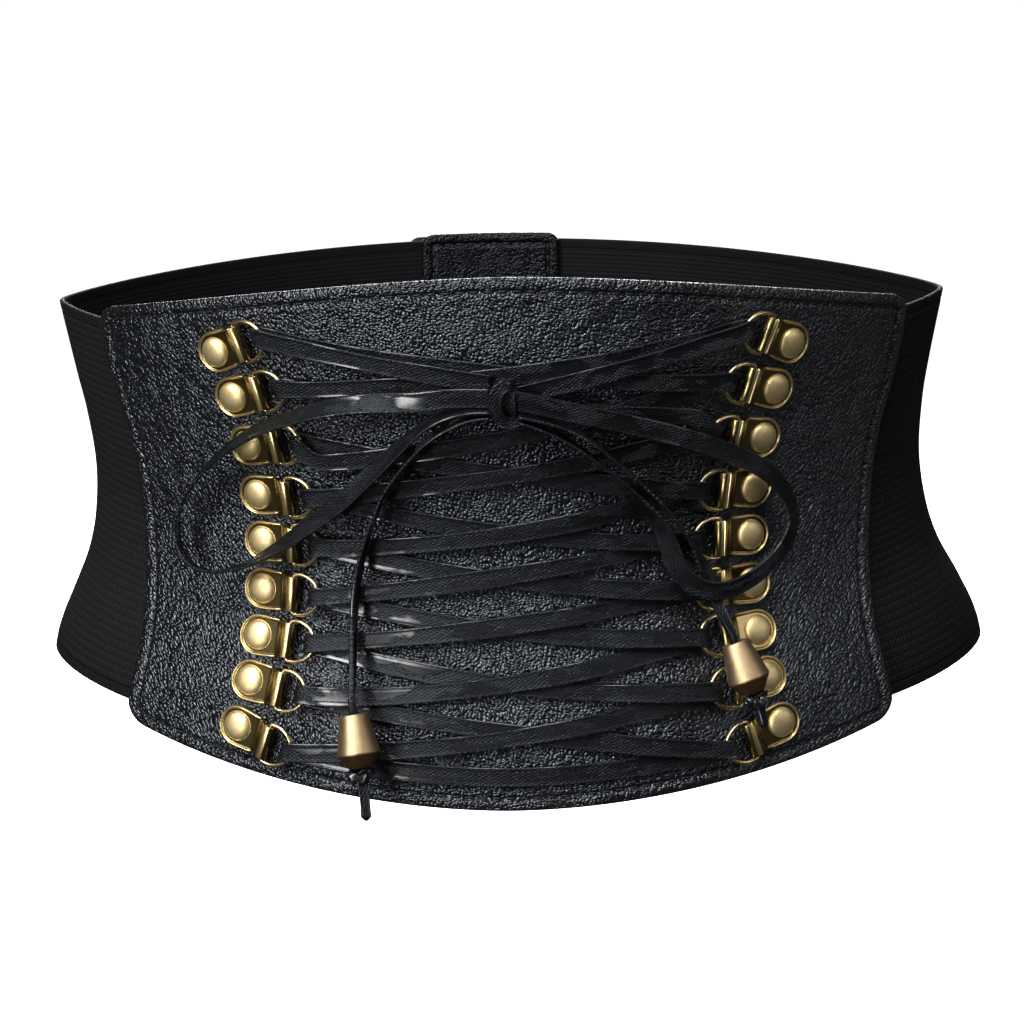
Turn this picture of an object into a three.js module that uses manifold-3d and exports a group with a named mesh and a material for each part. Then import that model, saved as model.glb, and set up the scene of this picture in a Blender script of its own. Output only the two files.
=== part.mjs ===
// A lace-up corset belt for the waist: a leather front panel on two wide elastic bands, two columns of
// lace clips with D-rings, a flat lace crossed through them and tied in a bow, and a tab closure at the back.
// Millimetres, +Z up. The front looks toward -Y and +X is the viewer's right. The origin is the middle of
// the waist opening, at half the height of the elastic bands and on the centre line of the front panel.
import * as THREE from 'three';
import Module from 'manifold-3d';
import { mergeVertices } from 'three/addons/utils/BufferGeometryUtils.js';

const wasm = await Module();
wasm.setup();

// Sizes of the body that the belt goes round
const waistWidth = 264.6;
const waistDepth = 182.6;

// Elastic bands
const bandHeight = 115;
const bandWall = 1.5;
const bandTuck = 15; // reach of each band behind the leather panel

// Leather front panel
const leatherWall = 2;
const panelWidth = 219.3; // at the waist
const panelPeak = 24.5; // rise of its upper edge above the bands, at the centre
const panelDip = 16; // reach of its lower edge below the bands, at the centre
const panelPeakFall = 20.2; // fall of the upper edge from the centre to the sides
const panelDipRise = 11.3; // rise of the lower edge from the centre to the sides
const panelEdgeBend = 1.75; // power that bends the two long edges
const panelCorner = 5.5;

// Back closure
const tabWidth = 49;
const tabOffset = -4.6; // the closure lies a little to one side
const tabStagger = 4; // shift of the outer tab against the inner one
const tabOverhang = 2.2;
const tabCorner = 4;
const closureWidth = 8;
const closureHeight = 100;

// Lace clips: a riveted plate with a rolled eye
const columnInset = 39.75; // from the panel's sides to the two columns of rivets, at the waist
const columnFlare = 10.7; // a column's shift outward over half the band height
const columnWaist = -3; // height where the columns are closest
const plateHeight = 12;
const plateWall = 0.8;
const eyeReach = 11.4; // from the rivet to the eye
const eyeRadius = 1.95;
const eyeBore = 1.12;
const eyeLength = 10.2;
const rivetRadius = 4.4;
const rivetRise = 1.7;
const rivetSides = 10;

// D-rings
const wireRadius = 0.63;
const wireSides = 5;
const ringDepth = 8.8; // from the bar to the tip, centre to centre
const ringHeight = 11.8; // between the wire's centre lines

// Lace
const laceWidth = 5.8;
const laceThickness = 1;
const laceSag = 3.2; // of the strand between the two lowest rings
const turnClimb = 0.35; // rise of the lace as it turns round a ring's wire
const knotWidth = 6.4;
const knotHeight = 11;
const knotDepth = 6.4;
const knotCentre = 48.9;
const tieHigh = 4; // heights above the knot's centre where the two top strands come in
const tieLow = 0.6;
const knotFullness = 0.75; // 1 is an ellipsoid, and less is squarer

// Bell-shaped lace ends
const bellTop = 4;
const bellWide = 6.25;
const bellFoot = 3.3;
const bellHeight = 15.5;
const bellShoulder = 11.1; // from the top to the widest place
const bellBore = 2.1;
const bellMouth = 2.7;
const bellSides = 14;
const endKnotRadius = 3.5;
const endKnotHeight = 5.4;
const stubRadius = 1.4;

// Space left between pieces that touch, and more of it for what lies straight on the bent leather
const clearance = 0.3;
const bendRoom = 0.4;

const bandLow = -bandHeight / 2;
const panelFace = clearance + leatherWall;

// Cross-sections from the lowest reach of the panel to its highest. Height is a share of the band height
// from the bands' lower edge, width and depth are shares of the waist's, and lean is the sideways shift
// as a share of the waist's width. Pinch 0.5 is an ellipse, and more makes the sides turn more sharply.
const sections = [
  // [height, width, depth, pinch, lean]
  [-0.33, 1.164, 1.190, 0.65, 0.0125],
  [-0.15, 1.160, 1.172, 0.66, 0.0125],
  [0.00, 1.147, 1.146, 0.67, 0.0122],
  [0.08, 1.128, 1.124, 0.675, 0.0120],
  [0.18, 1.087, 1.084, 0.68, 0.0108],
  [0.29, 1.040, 1.040, 0.69, 0.0075],
  [0.40, 1.013, 1.013, 0.70, 0.0050],
  [0.54, 1.000, 1.000, 0.72, 0.0022],
  [0.69, 1.009, 1.009, 0.74, -0.0004],
  [0.79, 1.023, 1.022, 0.76, -0.0019],
  [1.00, 1.055, 1.057, 0.80, -0.0026],
  [1.22, 1.087, 1.086, 0.82, -0.0042],
];
// Half width of the leather panel as a share of its half width at the waist
const panelSides = [
  // [height, half width]
  [-0.20, 1.056],
  [0.00, 1.056],
  [0.11, 1.030],
  [0.20, 1.011],
  [0.35, 0.999],
  [0.47, 1.005],
  [0.59, 1.014],
  [0.70, 1.035],
  [0.84, 1.076],
  [1.00, 1.104],
  [1.25, 1.115],
];
// Heights of the rows of clips above the origin, as shares of the band height
const clipHeights = [0.488, 0.374, 0.249, 0.119, -0.007, -0.133, -0.254, -0.366, -0.479];
// Radius of the tight turn at the two sides, as a share of the half width
const sideTurn = 0.15;

// A table column at a share of the height, as a smooth curve through its rows
function smooth(table, column, share) {
  const last = table.length - 1;
  const at = THREE.MathUtils.clamp(share, table[0][0], table[last][0]);
  let i = 0;
  while (i < last - 1 && at > table[i + 1][0]) i += 1;
  const slope = (j) => {
    const low = table[Math.max(j - 1, 0)];
    const high = table[Math.min(j + 1, last)];
    return (high[column] - low[column]) / (high[0] - low[0]);
  };
  const span = table[i + 1][0] - table[i][0];
  const t = (at - table[i][0]) / span;
  const a = table[i][column];
  const b = table[i + 1][column];
  const rise = (2 * t ** 3 - 3 * t ** 2 + 1) * a + (-2 * t ** 3 + 3 * t ** 2) * b;
  return rise + span * ((t ** 3 - 2 * t ** 2 + t) * slope(i) + (t ** 3 - t ** 2) * slope(i + 1));
}

function heightShare(z) {
  return (z - bandLow) / bandHeight;
}

function sectionAt(z) {
  const share = heightShare(z);
  return {
    halfWidth: smooth(sections, 1, share) * waistWidth / 2,
    halfDepth: smooth(sections, 2, share) * waistDepth / 2,
    pinch: smooth(sections, 3, share),
    lean: smooth(sections, 4, share) * waistWidth,
  };
}

// The body line: angle 0 is the centre front, 90 degrees the +X side and 180 degrees the back
function bodyPoint(angle, z) {
  const { halfWidth, halfDepth, pinch, lean } = sectionAt(z);
  const c = Math.cos(angle);
  const turn = sideTurn ** 2;
  const reach = c * ((c * c + turn) / (1 + turn)) ** (pinch - 0.5);
  return new THREE.Vector3(lean + halfWidth * Math.sin(angle), -halfDepth * reach, z);
}

// A point at a height above the body line, with the outward and upward directions there
function skin(angle, z, height) {
  const point = bodyPoint(angle, z);
  const along = bodyPoint(angle + 0.004, z).sub(bodyPoint(angle - 0.004, z)).normalize();
  const up = bodyPoint(angle, z + 0.4).sub(bodyPoint(angle, z - 0.4)).normalize();
  const out = along.clone().cross(up).normalize();
  return { point: point.addScaledVector(out, height), out, up: out.clone().cross(along).normalize() };
}

function frontAngle(x, z) {
  const { halfWidth, lean } = sectionAt(z);
  return Math.asin(THREE.MathUtils.clamp((x - lean) / halfWidth, -1, 1));
}

// A point above the leather panel's face
function onPanel(x, z, height) {
  return skin(frontAngle(x, z), z, panelFace + height);
}

// The place and height on the panel's face of a point in space
function underPoint(point) {
  let x = point.x;
  let z = point.z;
  let height = 0;
  for (let i = 0; i < 8; i += 1) {
    const base = onPanel(x, z, 0);
    const away = point.clone().sub(base.point);
    height = away.dot(base.out);
    away.addScaledVector(base.out, -height);
    x += away.x;
    z += away.z;
  }
  return { x, z, height };
}

function solid(positions, indices) {
  const geometry = new THREE.BufferGeometry();
  geometry.setAttribute('position', new THREE.Float32BufferAttribute(positions, 3));
  geometry.setIndex(indices);
  return geometry;
}

// Only the positions of a geometry, with shared corners merged
function bare(geometry) {
  const copy = geometry.clone();
  copy.deleteAttribute('normal');
  copy.deleteAttribute('uv');
  return mergeVertices(copy, 1e-4);
}

function toManifold(geometry) {
  const merged = bare(geometry);
  const vertProperties = new Float32Array(merged.attributes.position.array);
  return new wasm.Manifold(new wasm.Mesh({
    numProp: 3, vertProperties, triVerts: new Uint32Array(merged.index.array),
  }));
}

function fromManifold(manifold) {
  const mesh = manifold.getMesh();
  return solid(Array.from(mesh.vertProperties), Array.from(mesh.triVerts));
}

// A curved sheet between two heights above the body line. place(u, row) gives [angle, z].
function sheet(columns, rows, place, inner, outer) {
  const positions = [];
  const indices = [];
  const across = columns.length;
  const up = rows.length;
  for (const height of [outer, inner]) {
    for (const row of rows) {
      for (const u of columns) {
        const [angle, z] = place(u, row);
        positions.push(...skin(angle, z, height).point.toArray());
      }
    }
  }
  const front = (i, j) => j * across + i;
  const back = (i, j) => across * up + j * across + i;
  const quad = (a, b, c, d) => indices.push(a, b, c, a, c, d);
  for (let j = 0; j < up - 1; j += 1) {
    for (let i = 0; i < across - 1; i += 1) {
      quad(front(i, j), front(i + 1, j), front(i + 1, j + 1), front(i, j + 1));
      quad(back(i, j), back(i, j + 1), back(i + 1, j + 1), back(i + 1, j));
    }
    quad(front(0, j), front(0, j + 1), back(0, j + 1), back(0, j));
    quad(front(across - 1, j), back(across - 1, j), back(across - 1, j + 1), front(across - 1, j + 1));
  }
  for (let i = 0; i < across - 1; i += 1) {
    quad(front(i, 0), back(i, 0), back(i + 1, 0), front(i + 1, 0));
    quad(front(i, up - 1), front(i + 1, up - 1), back(i + 1, up - 1), back(i, up - 1));
  }
  return solid(positions, indices);
}

// A ribbon with a rectangular section through stations of {point, across, width, thickness}
function ribbon(stations) {
  const positions = [];
  const indices = [];
  const last = stations.length - 1;
  stations.forEach((station, i) => {
    const before = stations[Math.max(i - 1, 0)].point;
    const after = stations[Math.min(i + 1, last)].point;
    const forward = after.clone().sub(before).normalize();
    const across = station.across.clone().addScaledVector(forward, -station.across.dot(forward)).normalize();
    const face = forward.clone().cross(across);
    for (const [a, b] of [[-1, -1], [1, -1], [1, 1], [-1, 1]]) {
      const corner = station.point.clone()
        .addScaledVector(across, a * station.width / 2)
        .addScaledVector(face, b * station.thickness / 2);
      positions.push(...corner.toArray());
    }
  });
  for (let i = 0; i < last; i += 1) {
    for (let k = 0; k < 4; k += 1) {
      const a = i * 4 + k;
      const b = i * 4 + (k + 1) % 4;
      indices.push(a, b, b + 4, a, b + 4, a + 4);
    }
  }
  const end = last * 4;
  indices.push(0, 2, 1, 0, 3, 2, end, end + 1, end + 2, end, end + 2, end + 3);
  return solid(positions, indices);
}

// Heights, as shares of the band height, where every layer has a row of corners, so that the layers' facets
// lie along each other
const sharedRows = [0.09, 0.19, 0.3, 0.42, 0.55, 0.7, 0.85];

// The height of a row: the shared rows, with some more between the last of them and the piece's two edges
function rowHeight(row, lowRows, highRows, low, high) {
  const first = bandLow + bandHeight * sharedRows[0];
  const last = bandLow + bandHeight * sharedRows[sharedRows.length - 1];
  if (row < lowRows) return THREE.MathUtils.lerp(low, first, row / lowRows);
  const shared = row - lowRows;
  if (shared < sharedRows.length) return bandLow + bandHeight * sharedRows[shared];
  return THREE.MathUtils.lerp(last, high, (shared - sharedRows.length + 1) / highRows);
}

// The numbers from 0 up to a count
function countUp(count) {
  return Array.from({ length: count }, (_, i) => i);
}

// Shares from 0 to 1 in even steps
function steps(count) {
  return Array.from({ length: count + 1 }, (_, i) => i / count);
}

// Columns from one side to the other, closer together where the corners turn
function cornerColumns(corner, halfWidth, inside) {
  const share = corner / halfWidth;
  const turn = [1, 1 - 0.13 * share, 1 - 0.5 * share];
  const middle = steps(inside).map((u) => (1 - share) * (2 * u - 1));
  return [...turn.map((u) => -u), ...middle, ...turn.reverse()];
}

// How far an edge falls inside a rounded corner, at a distance from the side
function cornerFall(distance, corner) {
  const inside = Math.max(corner - distance, 0);
  return corner - Math.sqrt(Math.max(corner * corner - inside * inside, 0));
}

function panelHalfWidth(z) {
  return smooth(panelSides, 1, heightShare(z)) * panelWidth / 2;
}

function frontPanelGeometry() {
  const topHalf = panelHalfWidth(-bandLow);
  const lowHalf = panelHalfWidth(bandLow);
  const upperEdge = (u) => {
    const bend = Math.abs(u) ** panelEdgeBend;
    return -bandLow + panelPeak - panelPeakFall * bend - cornerFall((1 - Math.abs(u)) * topHalf, panelCorner);
  };
  const lowerEdge = (u) => {
    const bend = Math.abs(u) ** panelEdgeBend;
    return bandLow - panelDip + panelDipRise * bend + cornerFall((1 - Math.abs(u)) * lowHalf, panelCorner);
  };
  const place = (u, row) => {
    const z = rowHeight(row, 2, 3, lowerEdge(u), upperEdge(u));
    return [frontAngle(u * panelHalfWidth(z), z), z];
  };
  const rows = countUp(sharedRows.length + 5);
  return sheet(cornerColumns(panelCorner, panelWidth / 2, 20), rows, place, clearance, panelFace);
}

// side is -1 for the viewer's left and 1 for the right
function bandGeometry(side) {
  const place = (u, row) => {
    const z = rowHeight(row, 1, 1, bandLow, -bandLow);
    const front = frontAngle(side * (panelHalfWidth(z) - bandTuck), z);
    const back = side * Math.PI - frontAngle(tabOffset + side * (closureWidth / 2 + clearance), z);
    const share = side > 0 ? u : 1 - u;
    return [THREE.MathUtils.lerp(front, back, share), z];
  };
  return sheet(steps(20), countUp(sharedRows.length + 2), place, -bandWall, 0);
}

// A flat piece across the back, with its upper and lower edges past the bands
function backPiece(centre, width, overhang, corner, inner, outer) {
  const place = (u, row) => {
    const reach = bandHeight / 2 + overhang - cornerFall((1 - Math.abs(u)) * width / 2, corner);
    const z = rowHeight(row, 1, 1, -reach, reach);
    return [Math.PI - frontAngle(centre - u * width / 2, z), z];
  };
  const columns = corner > 0 ? cornerColumns(corner, width / 2, 4) : steps(2).map((u) => 2 * u - 1);
  return sheet(columns, countUp(sharedRows.length + 2), place, inner, outer);
}

// The frame of a clip on the panel: x runs inward from the rivet, z outward from the leather
function clipFrame(side, row) {
  const z = clipHeights[row] * bandHeight;
  const column = (height) => {
    const bend = (height - columnWaist) / (bandHeight / 2);
    return side * (panelWidth / 2 - columnInset + columnFlare * bend * bend);
  };
  const { point, out } = onPanel(column(z), z, 0);
  const downColumn = onPanel(column(z - 1), z - 1, 0).point;
  const upColumn = onPanel(column(z + 1), z + 1, 0).point.sub(downColumn);
  const inward = out.clone().cross(upColumn).normalize().multiplyScalar(side);
  const middle = point.clone().addScaledVector(inward, eyeReach / 2);
  const seat = underPoint(middle);
  const face = onPanel(seat.x, seat.z, 0);
  inward.addScaledVector(face.out, -inward.dot(face.out)).normalize();
  const along = face.out.clone().cross(inward).normalize();
  const origin = face.point.clone().addScaledVector(inward, -eyeReach / 2);
  return { origin, inward, along, out: face.out };
}

function frameMatrix({ origin, inward, along, out }) {
  return new THREE.Matrix4().makeBasis(inward, along, out).setPosition(origin);
}

const plateLift = clearance + bendRoom;
const eyeLift = plateLift + eyeRadius;

function clipGeometry() {
  const half = plateHeight / 2;
  const outline = new THREE.Shape();
  outline.moveTo(eyeReach, -eyeLength / 2);
  outline.lineTo(eyeReach, eyeLength / 2);
  outline.lineTo(rivetRadius, half);
  outline.lineTo(0, half);
  outline.absarc(0, 0, half, Math.PI / 2, 1.5 * Math.PI, false);
  outline.lineTo(rivetRadius, -half);
  outline.closePath();
  const plate = new THREE.ExtrudeGeometry(outline, { depth: plateWall, bevelEnabled: false, curveSegments: 6 });
  plate.translate(0, 0, plateLift);
  const barrel = (radius, length, sides) => {
    const tube = new THREE.CylinderGeometry(radius, radius, length, sides);
    return tube.translate(eyeReach, 0, eyeLift);
  };
  const base = plateLift + plateWall / 2;
  const domeTop = plateLift + plateWall + rivetRise;
  const dome = new THREE.LatheGeometry([
    new THREE.Vector2(0, base),
    new THREE.Vector2(rivetRadius, base),
    new THREE.Vector2(rivetRadius * 0.8, plateLift + plateWall + rivetRise * 0.65),
    new THREE.Vector2(0, domeTop),
  ], rivetSides);
  dome.rotateX(Math.PI / 2);
  const whole = toManifold(plate)
    .add(toManifold(barrel(eyeRadius, eyeLength, 9)))
    .add(toManifold(dome))
    .subtract(toManifold(barrel(eyeBore, eyeLength + 2, 7)));
  return fromManifold(whole);
}

// The ring's centre line from its bar round the bow: shares of its depth and half height
const ringLine = [[0, 0], [0, 0.86], [0.13, 1], [0.45, 0.96], [0.77, 0.71], [0.96, 0.32]];

function ringGeometry() {
  const upper = ringLine.map(([x, y]) => [x * ringDepth, y * ringHeight / 2]);
  const lower = upper.slice(1).reverse().map(([x, y]) => [x, -y]);
  const line = [...upper, [ringDepth, 0], ...lower].map(([x, y]) => new THREE.Vector3(x, y, 0));
  const positions = [];
  const indices = [];
  const count = line.length;
  const lift = new THREE.Vector3(0, 0, 1);
  line.forEach((point, i) => {
    const before = line[(i + count - 1) % count];
    const after = line[(i + 1) % count];
    const forward = after.clone().sub(before).normalize();
    const aside = lift.clone().cross(forward);
    for (let k = 0; k < wireSides; k += 1) {
      const turn = (k / wireSides) * 2 * Math.PI;
      const corner = point.clone()
        .addScaledVector(aside, wireRadius * Math.cos(turn))
        .addScaledVector(lift, wireRadius * Math.sin(turn));
      positions.push(corner.x + eyeReach, corner.y, corner.z + eyeLift);
    }
  });
  for (let i = 0; i < count; i += 1) {
    const next = (i + 1) % count;
    for (let k = 0; k < wireSides; k += 1) {
      const a = i * wireSides + k;
      const b = i * wireSides + (k + 1) % wireSides;
      const c = next * wireSides + (k + 1) % wireSides;
      const d = next * wireSides + k;
      indices.push(a, b, c, a, c, d);
    }
  }
  return solid(positions, indices);
}

// Heights of a strand above the panel along its way, from the ring that it leaves over the wire to the one
// that it reaches under it. At the centre it crosses over or under its partner.
const laceLow = clearance + bendRoom + laceThickness / 2;
const laceHigh = laceLow + laceThickness + clearance + 0.1;
const turnRadius = wireRadius + clearance + laceThickness / 2;
const strandOver = [[0.05, 1.3], [0.11, 0.9], [0.215, 0], [0.35, 0], [0.5, 0], [0.65, 0], [0.71, 0], [0.79, -1],
  [0.9, -1]];
const strandUnder = [[0.05, 1.3], [0.11, 0.9], [0.215, 0], [0.29, -1], [0.4, -1], [0.5, -1], [0.65, -1],
  [0.79, -1], [0.9, -1]];

// How far a strand hangs below its straight line, and how near its start it hangs lowest: 1 is the middle,
// and less is nearer. In the order of the lacing, down the rings and up again.
const sagsDown = [[0.8, 1], [6, 0.35], [-0.8, 1], [1.6, 0.7], [0.5, 1.3], [-1, 1], [1.5, 1], [0.7, 0.8]];
const sagsUp = [[-0.9, 1], [1.4, 0.7], [0.6, 1], [-1.2, 1.2], [1.7, 0.8], [-0.6, 1], [-6, 0.35], [1, 1]];

// The lace round a ring's wire, from under it to over it
function laceTurn(side, row) {
  const { origin, inward, along, out } = clipFrame(side, row);
  const up = along.z > 0 ? along : along.clone().negate();
  const centre = origin.clone()
    .addScaledVector(inward, eyeReach + ringDepth - 2 * wireRadius - bendRoom)
    .addScaledVector(out, eyeLift);
  return steps(4).map((share) => {
    const turn = Math.PI * (share - 0.5);
    const point = centre.clone()
      .addScaledVector(inward, -turnRadius * Math.cos(turn))
      .addScaledVector(out, turnRadius * Math.sin(turn))
      .addScaledVector(up, turnClimb * (share - 0.5));
    return { point, across: up };
  });
}

// Stations between two places, at the given heights above laceHigh, as shares of one lace's thickness
function strand(from, to, heights, [sag, skew] = [0, 1]) {
  const step = laceThickness + clearance + 0.1;
  return heights.map(([share, level]) => {
    const x = THREE.MathUtils.lerp(from.x, to.x, share);
    const z = THREE.MathUtils.lerp(from.z, to.z, share) - sag * Math.sin(Math.PI * share ** skew);
    const { point, up } = onPanel(x, z, laceHigh + level * step);
    return { point, across: up };
  });
}

function lacingGeometry() {
  const path = [];
  const knotSide = (side) => ({ x: side * (knotWidth / 2 + clearance), z: knotCentre + (side < 0 ? tieHigh : tieLow) });
  const tieLevels = [[0.06, 1.4], [0.2, 1.15], [0.45, 1.05], [0.7, 1.05], [1, 1.05]];
  const firstTurn = laceTurn(-1, 0).reverse();
  path.push(...strand(underPoint(firstTurn[0].point), knotSide(-1), tieLevels).reverse(), ...firstTurn);
  let side = -1;
  let turn = firstTurn;
  for (let row = 1; row < clipHeights.length; row += 1) {
    side = -side;
    const next = laceTurn(side, row).reverse();
    const start = underPoint(next[0].point);
    const end = underPoint(turn[turn.length - 1].point);
    const heights = side < 0 ? strandOver : strandUnder;
    path.push(...strand(start, end, heights, sagsDown[row - 1]).reverse(), ...next);
    turn = next;
  }
  const lastTurn = laceTurn(-side, clipHeights.length - 1);
  const from = underPoint(turn[turn.length - 1].point);
  const to = underPoint(lastTurn[0].point);
  for (const share of [0.08, 0.2, 0.35, 0.5, 0.65, 0.8, 0.92]) {
    const x = THREE.MathUtils.lerp(from.x, to.x, share);
    const z = THREE.MathUtils.lerp(from.z, to.z, share) - laceSag * Math.sin(Math.PI * share);
    const { point, up } = onPanel(x, z, laceLow);
    path.push({ point, across: up });
  }
  path.push(...lastTurn);
  side = -side;
  turn = lastTurn;
  for (let row = clipHeights.length - 2; row >= 0; row -= 1) {
    const start = underPoint(turn[turn.length - 1].point);
    const next = laceTurn(-side, row);
    const heights = side < 0 ? strandOver : strandUnder;
    const sag = sagsUp[clipHeights.length - 2 - row];
    path.push(...strand(start, underPoint(next[0].point), heights, sag), ...next);
    side = -side;
    turn = next;
  }
  path.push(...strand(underPoint(turn[turn.length - 1].point), knotSide(side), tieLevels));
  return ribbon(path.map((station) => ({ ...station, width: laceWidth, thickness: laceThickness })));
}

// Routes of the bow on the panel: place across and up, height above the leather, and how far the lace
// stands on its edge, in degrees. Each starts at the knot's side.
const loopLeftRoute = [
  [-3.5, 50.3, 8.1, 0], [-14.0, 50.2, 8.1, 0], [-23.1, 48.9, 8.1, 12], [-39.2, 47.4, 8.1, 40],
  [-53.4, 43.1, 8.3, 58], [-67.2, 36.0, 8.6, 60], [-79.6, 24.5, 8.7, 66], [-87.4, 12.9, 8.7, 62],
  [-91.0, 1.1, 8.7, 58], [-89.6, -7.6, 8.7, 62], [-84.0, -11.4, 8.7, 76], [-72.8, -8.0, 8.7, 103],
  [-62.5, -0.8, 8.7, 126], [-54.3, 7.0, 8.5, 142], [-44.2, 16.6, 8.1, 150], [-35.9, 25.8, 7.8, 140],
  [-27.9, 34.6, 7.6, 120], [-20.6, 41.9, 7.5, 102], [-14.6, 45.2, 7.5, 95], [-9.0, 46.5, 7.5, 91],
  [-3.5, 46.7, 7.5, 90],
];
const loopRightRoute = [
  [3.5, 49.6, 8.1, 180], [15.7, 46.0, 8.1, 180], [30.3, 41.4, 8.1, 178], [45.3, 35.7, 8.2, 170],
  [57.0, 29.8, 8.5, 164], [68.8, 21.6, 8.7, 160], [75.8, 12.7, 8.8, 160], [77.9, 2.2, 8.8, 160],
  [75.6, -4.6, 8.8, 160], [70.9, -9.4, 9.1, 160], [65.2, -12.9, 9.5, 160], [58.9, -14.8, 9.6, 162],
  [52.6, -13.6, 9.2, 165], [46.8, -8.0, 8.5, 162], [43.9, 0.0, 7.8, 152], [41.4, 7.4, 7.6, 128],
  [36.6, 15.6, 7.6, 105], [29.4, 24.2, 7.5, 95], [22.2, 31.6, 7.5, 92], [17.0, 36.2, 7.5, 90],
  [12.0, 39.6, 7.5, 90], [7.4, 42.0, 7.5, 90], [3.5, 43.6, 7.5, 90],
];
// Routes of the two tails, with the lace's width and thickness where it is folded to enter its end piece
const tailLeftRoute = [
  [-3.5, 45.2, 7.5, 88], [-8.8, 44.4, 7.5, 88], [-13.8, 42.2, 7.5, 86], [-19.6, 38.0, 7.5, 86],
  [-26.4, 29.9, 7.5, 86], [-31.7, 20.9, 7.5, 88], [-35.1, 12.0, 7.5, 88], [-38.3, 1.0, 7.5, 88, 5.6, 1.2],
  [-40.5, -10.1, 7.5, 88, 5.2, 1.4], [-41.4, -21.4, 7.8, 86, 4.6, 1.6], [-41.6, -33.4, 8.8, 84, 3.6, 1.8],
  [-41.5, -40.6, 10.3, 76, 2.9, 1.9], [-41.3, -44.6, 11.1, 60, 2.6, 2.1], [-41.0, -46.1, 11.3, 50, 2.5, 2.1],
  [-40.6, -48.1, 11.3, 50, 2.4, 2.1],
];
const tailRightRoute = [
  [3.5, 45.3, 7.5, 90], [9.0, 43.7, 7.5, 90], [14.0, 41.9, 7.5, 90], [19.0, 39.0, 7.5, 90],
  [25.0, 33.9, 7.5, 92], [31.5, 26.8, 7.5, 92], [36.6, 20.9, 7.5, 92], [41.8, 14.4, 7.5, 92, 5.7],
  [48.2, 3.6, 8.1, 105, 5.4], [52.5, -5.2, 7.3, 140, 4.8], [55.3, -11.4, 6.7, 172, 4.3, 1.1],
  [57.2, -18.6, 7.2, 180, 3.6, 1.5], [58.7, -24.4, 9.4, 170, 3, 1.8], [60.0, -29.0, 11.0, 160, 2.7, 2],
  [60.4, -30.8, 11.4, 160, 2.5, 2.1], [60.9, -33.0, 11.4, 160, 2.4, 2.1],
];

// Stations of a route: across turns from the panel's face at 0 degrees to straight out at 90
function routeStations(route) {
  const places = route.map(([x, z, height]) => onPanel(x, z, height));
  return places.map(({ point, out }, i) => {
    const before = places[Math.max(i - 1, 0)].point;
    const after = places[Math.min(i + 1, places.length - 1)].point;
    const forward = after.clone().sub(before).normalize();
    const aside = out.clone().cross(forward).normalize();
    const [, , , stand, width = laceWidth, thickness = laceThickness] = route[i];
    const turn = THREE.MathUtils.degToRad(stand);
    const across = aside.multiplyScalar(Math.cos(turn)).addScaledVector(out, Math.sin(turn));
    return { point, across, width, thickness };
  });
}

function knotGeometry() {
  const { point, out, up } = onPanel(0, knotCentre, laceHigh + laceThickness + knotDepth / 2);
  const right = up.clone().cross(out).normalize();
  const knot = new THREE.SphereGeometry(1, 10, 8);
  const corners = knot.attributes.position;
  corners.array.forEach((value, i) => {
    corners.array[i] = Math.sign(value) * Math.abs(value) ** knotFullness;
  });
  knot.scale(knotWidth / 2, knotDepth / 2, knotHeight / 2);
  return knot.applyMatrix4(new THREE.Matrix4().makeBasis(right, out.clone().negate(), up).setPosition(point));
}

// The frame of a hanging lace end: its top's place on the panel, with +Z up along its axis
function bellFrame([x, z, height], tilt) {
  const { point, out, up } = onPanel(x, z, height);
  const aside = up.clone().cross(out).normalize();
  const turn = THREE.MathUtils.degToRad(tilt);
  const axis = up.clone().multiplyScalar(Math.cos(turn)).addScaledVector(aside, -Math.sin(turn));
  const right = axis.clone().cross(out).normalize();
  return new THREE.Matrix4().makeBasis(right, out.clone().negate(), axis).setPosition(point);
}

function bellGeometry() {
  const outline = [
    [bellBore, 0], [bellTop, 0], [bellWide, -bellShoulder], [bellFoot, -bellHeight],
    [bellMouth, -bellHeight], [bellBore, -bellShoulder],
  ].map(([radius, height]) => new THREE.Vector2(radius, height)).reverse();
  outline.push(outline[0].clone());
  return new THREE.LatheGeometry(outline, bellSides).rotateX(Math.PI / 2);
}

function endKnotGeometry(stubLength) {
  const centre = -bellHeight + endKnotHeight * 0.1 - endKnotHeight / 2;
  const knot = new THREE.SphereGeometry(1, 10, 6)
    .scale(endKnotRadius, endKnotHeight / 2, endKnotRadius * 0.8)
    .rotateX(Math.PI / 2)
    .translate(0, 0, centre);
  const stub = new THREE.CylinderGeometry(stubRadius, stubRadius, stubLength, 8)
    .rotateX(Math.PI / 2)
    .translate(0, 0, centre - stubLength / 2);
  return fromManifold(toManifold(knot).add(toManifold(stub)));
}

const leather = new THREE.MeshStandardMaterial({ color: 0x17181c, roughness: 0.5, metalness: 0 });
const elastic = new THREE.MeshStandardMaterial({ color: 0x111114, roughness: 0.85, metalness: 0 });
const lace = new THREE.MeshStandardMaterial({ color: 0x15161a, roughness: 0.6, metalness: 0 });
const oldBrass = new THREE.MeshStandardMaterial({ color: 0x9a8350, roughness: 0.38, metalness: 1 });
const copper = new THREE.MeshStandardMaterial({ color: 0xb98f66, roughness: 0.32, metalness: 1 });

const belt = new THREE.Group();

function addPiece(name, geometry, material, matrix) {
  const mesh = new THREE.Mesh(bare(geometry), material);
  mesh.name = name;
  if (matrix) mesh.applyMatrix4(matrix);
  belt.add(mesh);
}

addPiece('front_panel', frontPanelGeometry(), leather);
addPiece('elastic_left', bandGeometry(-1), elastic);
addPiece('elastic_right', bandGeometry(1), elastic);

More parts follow.
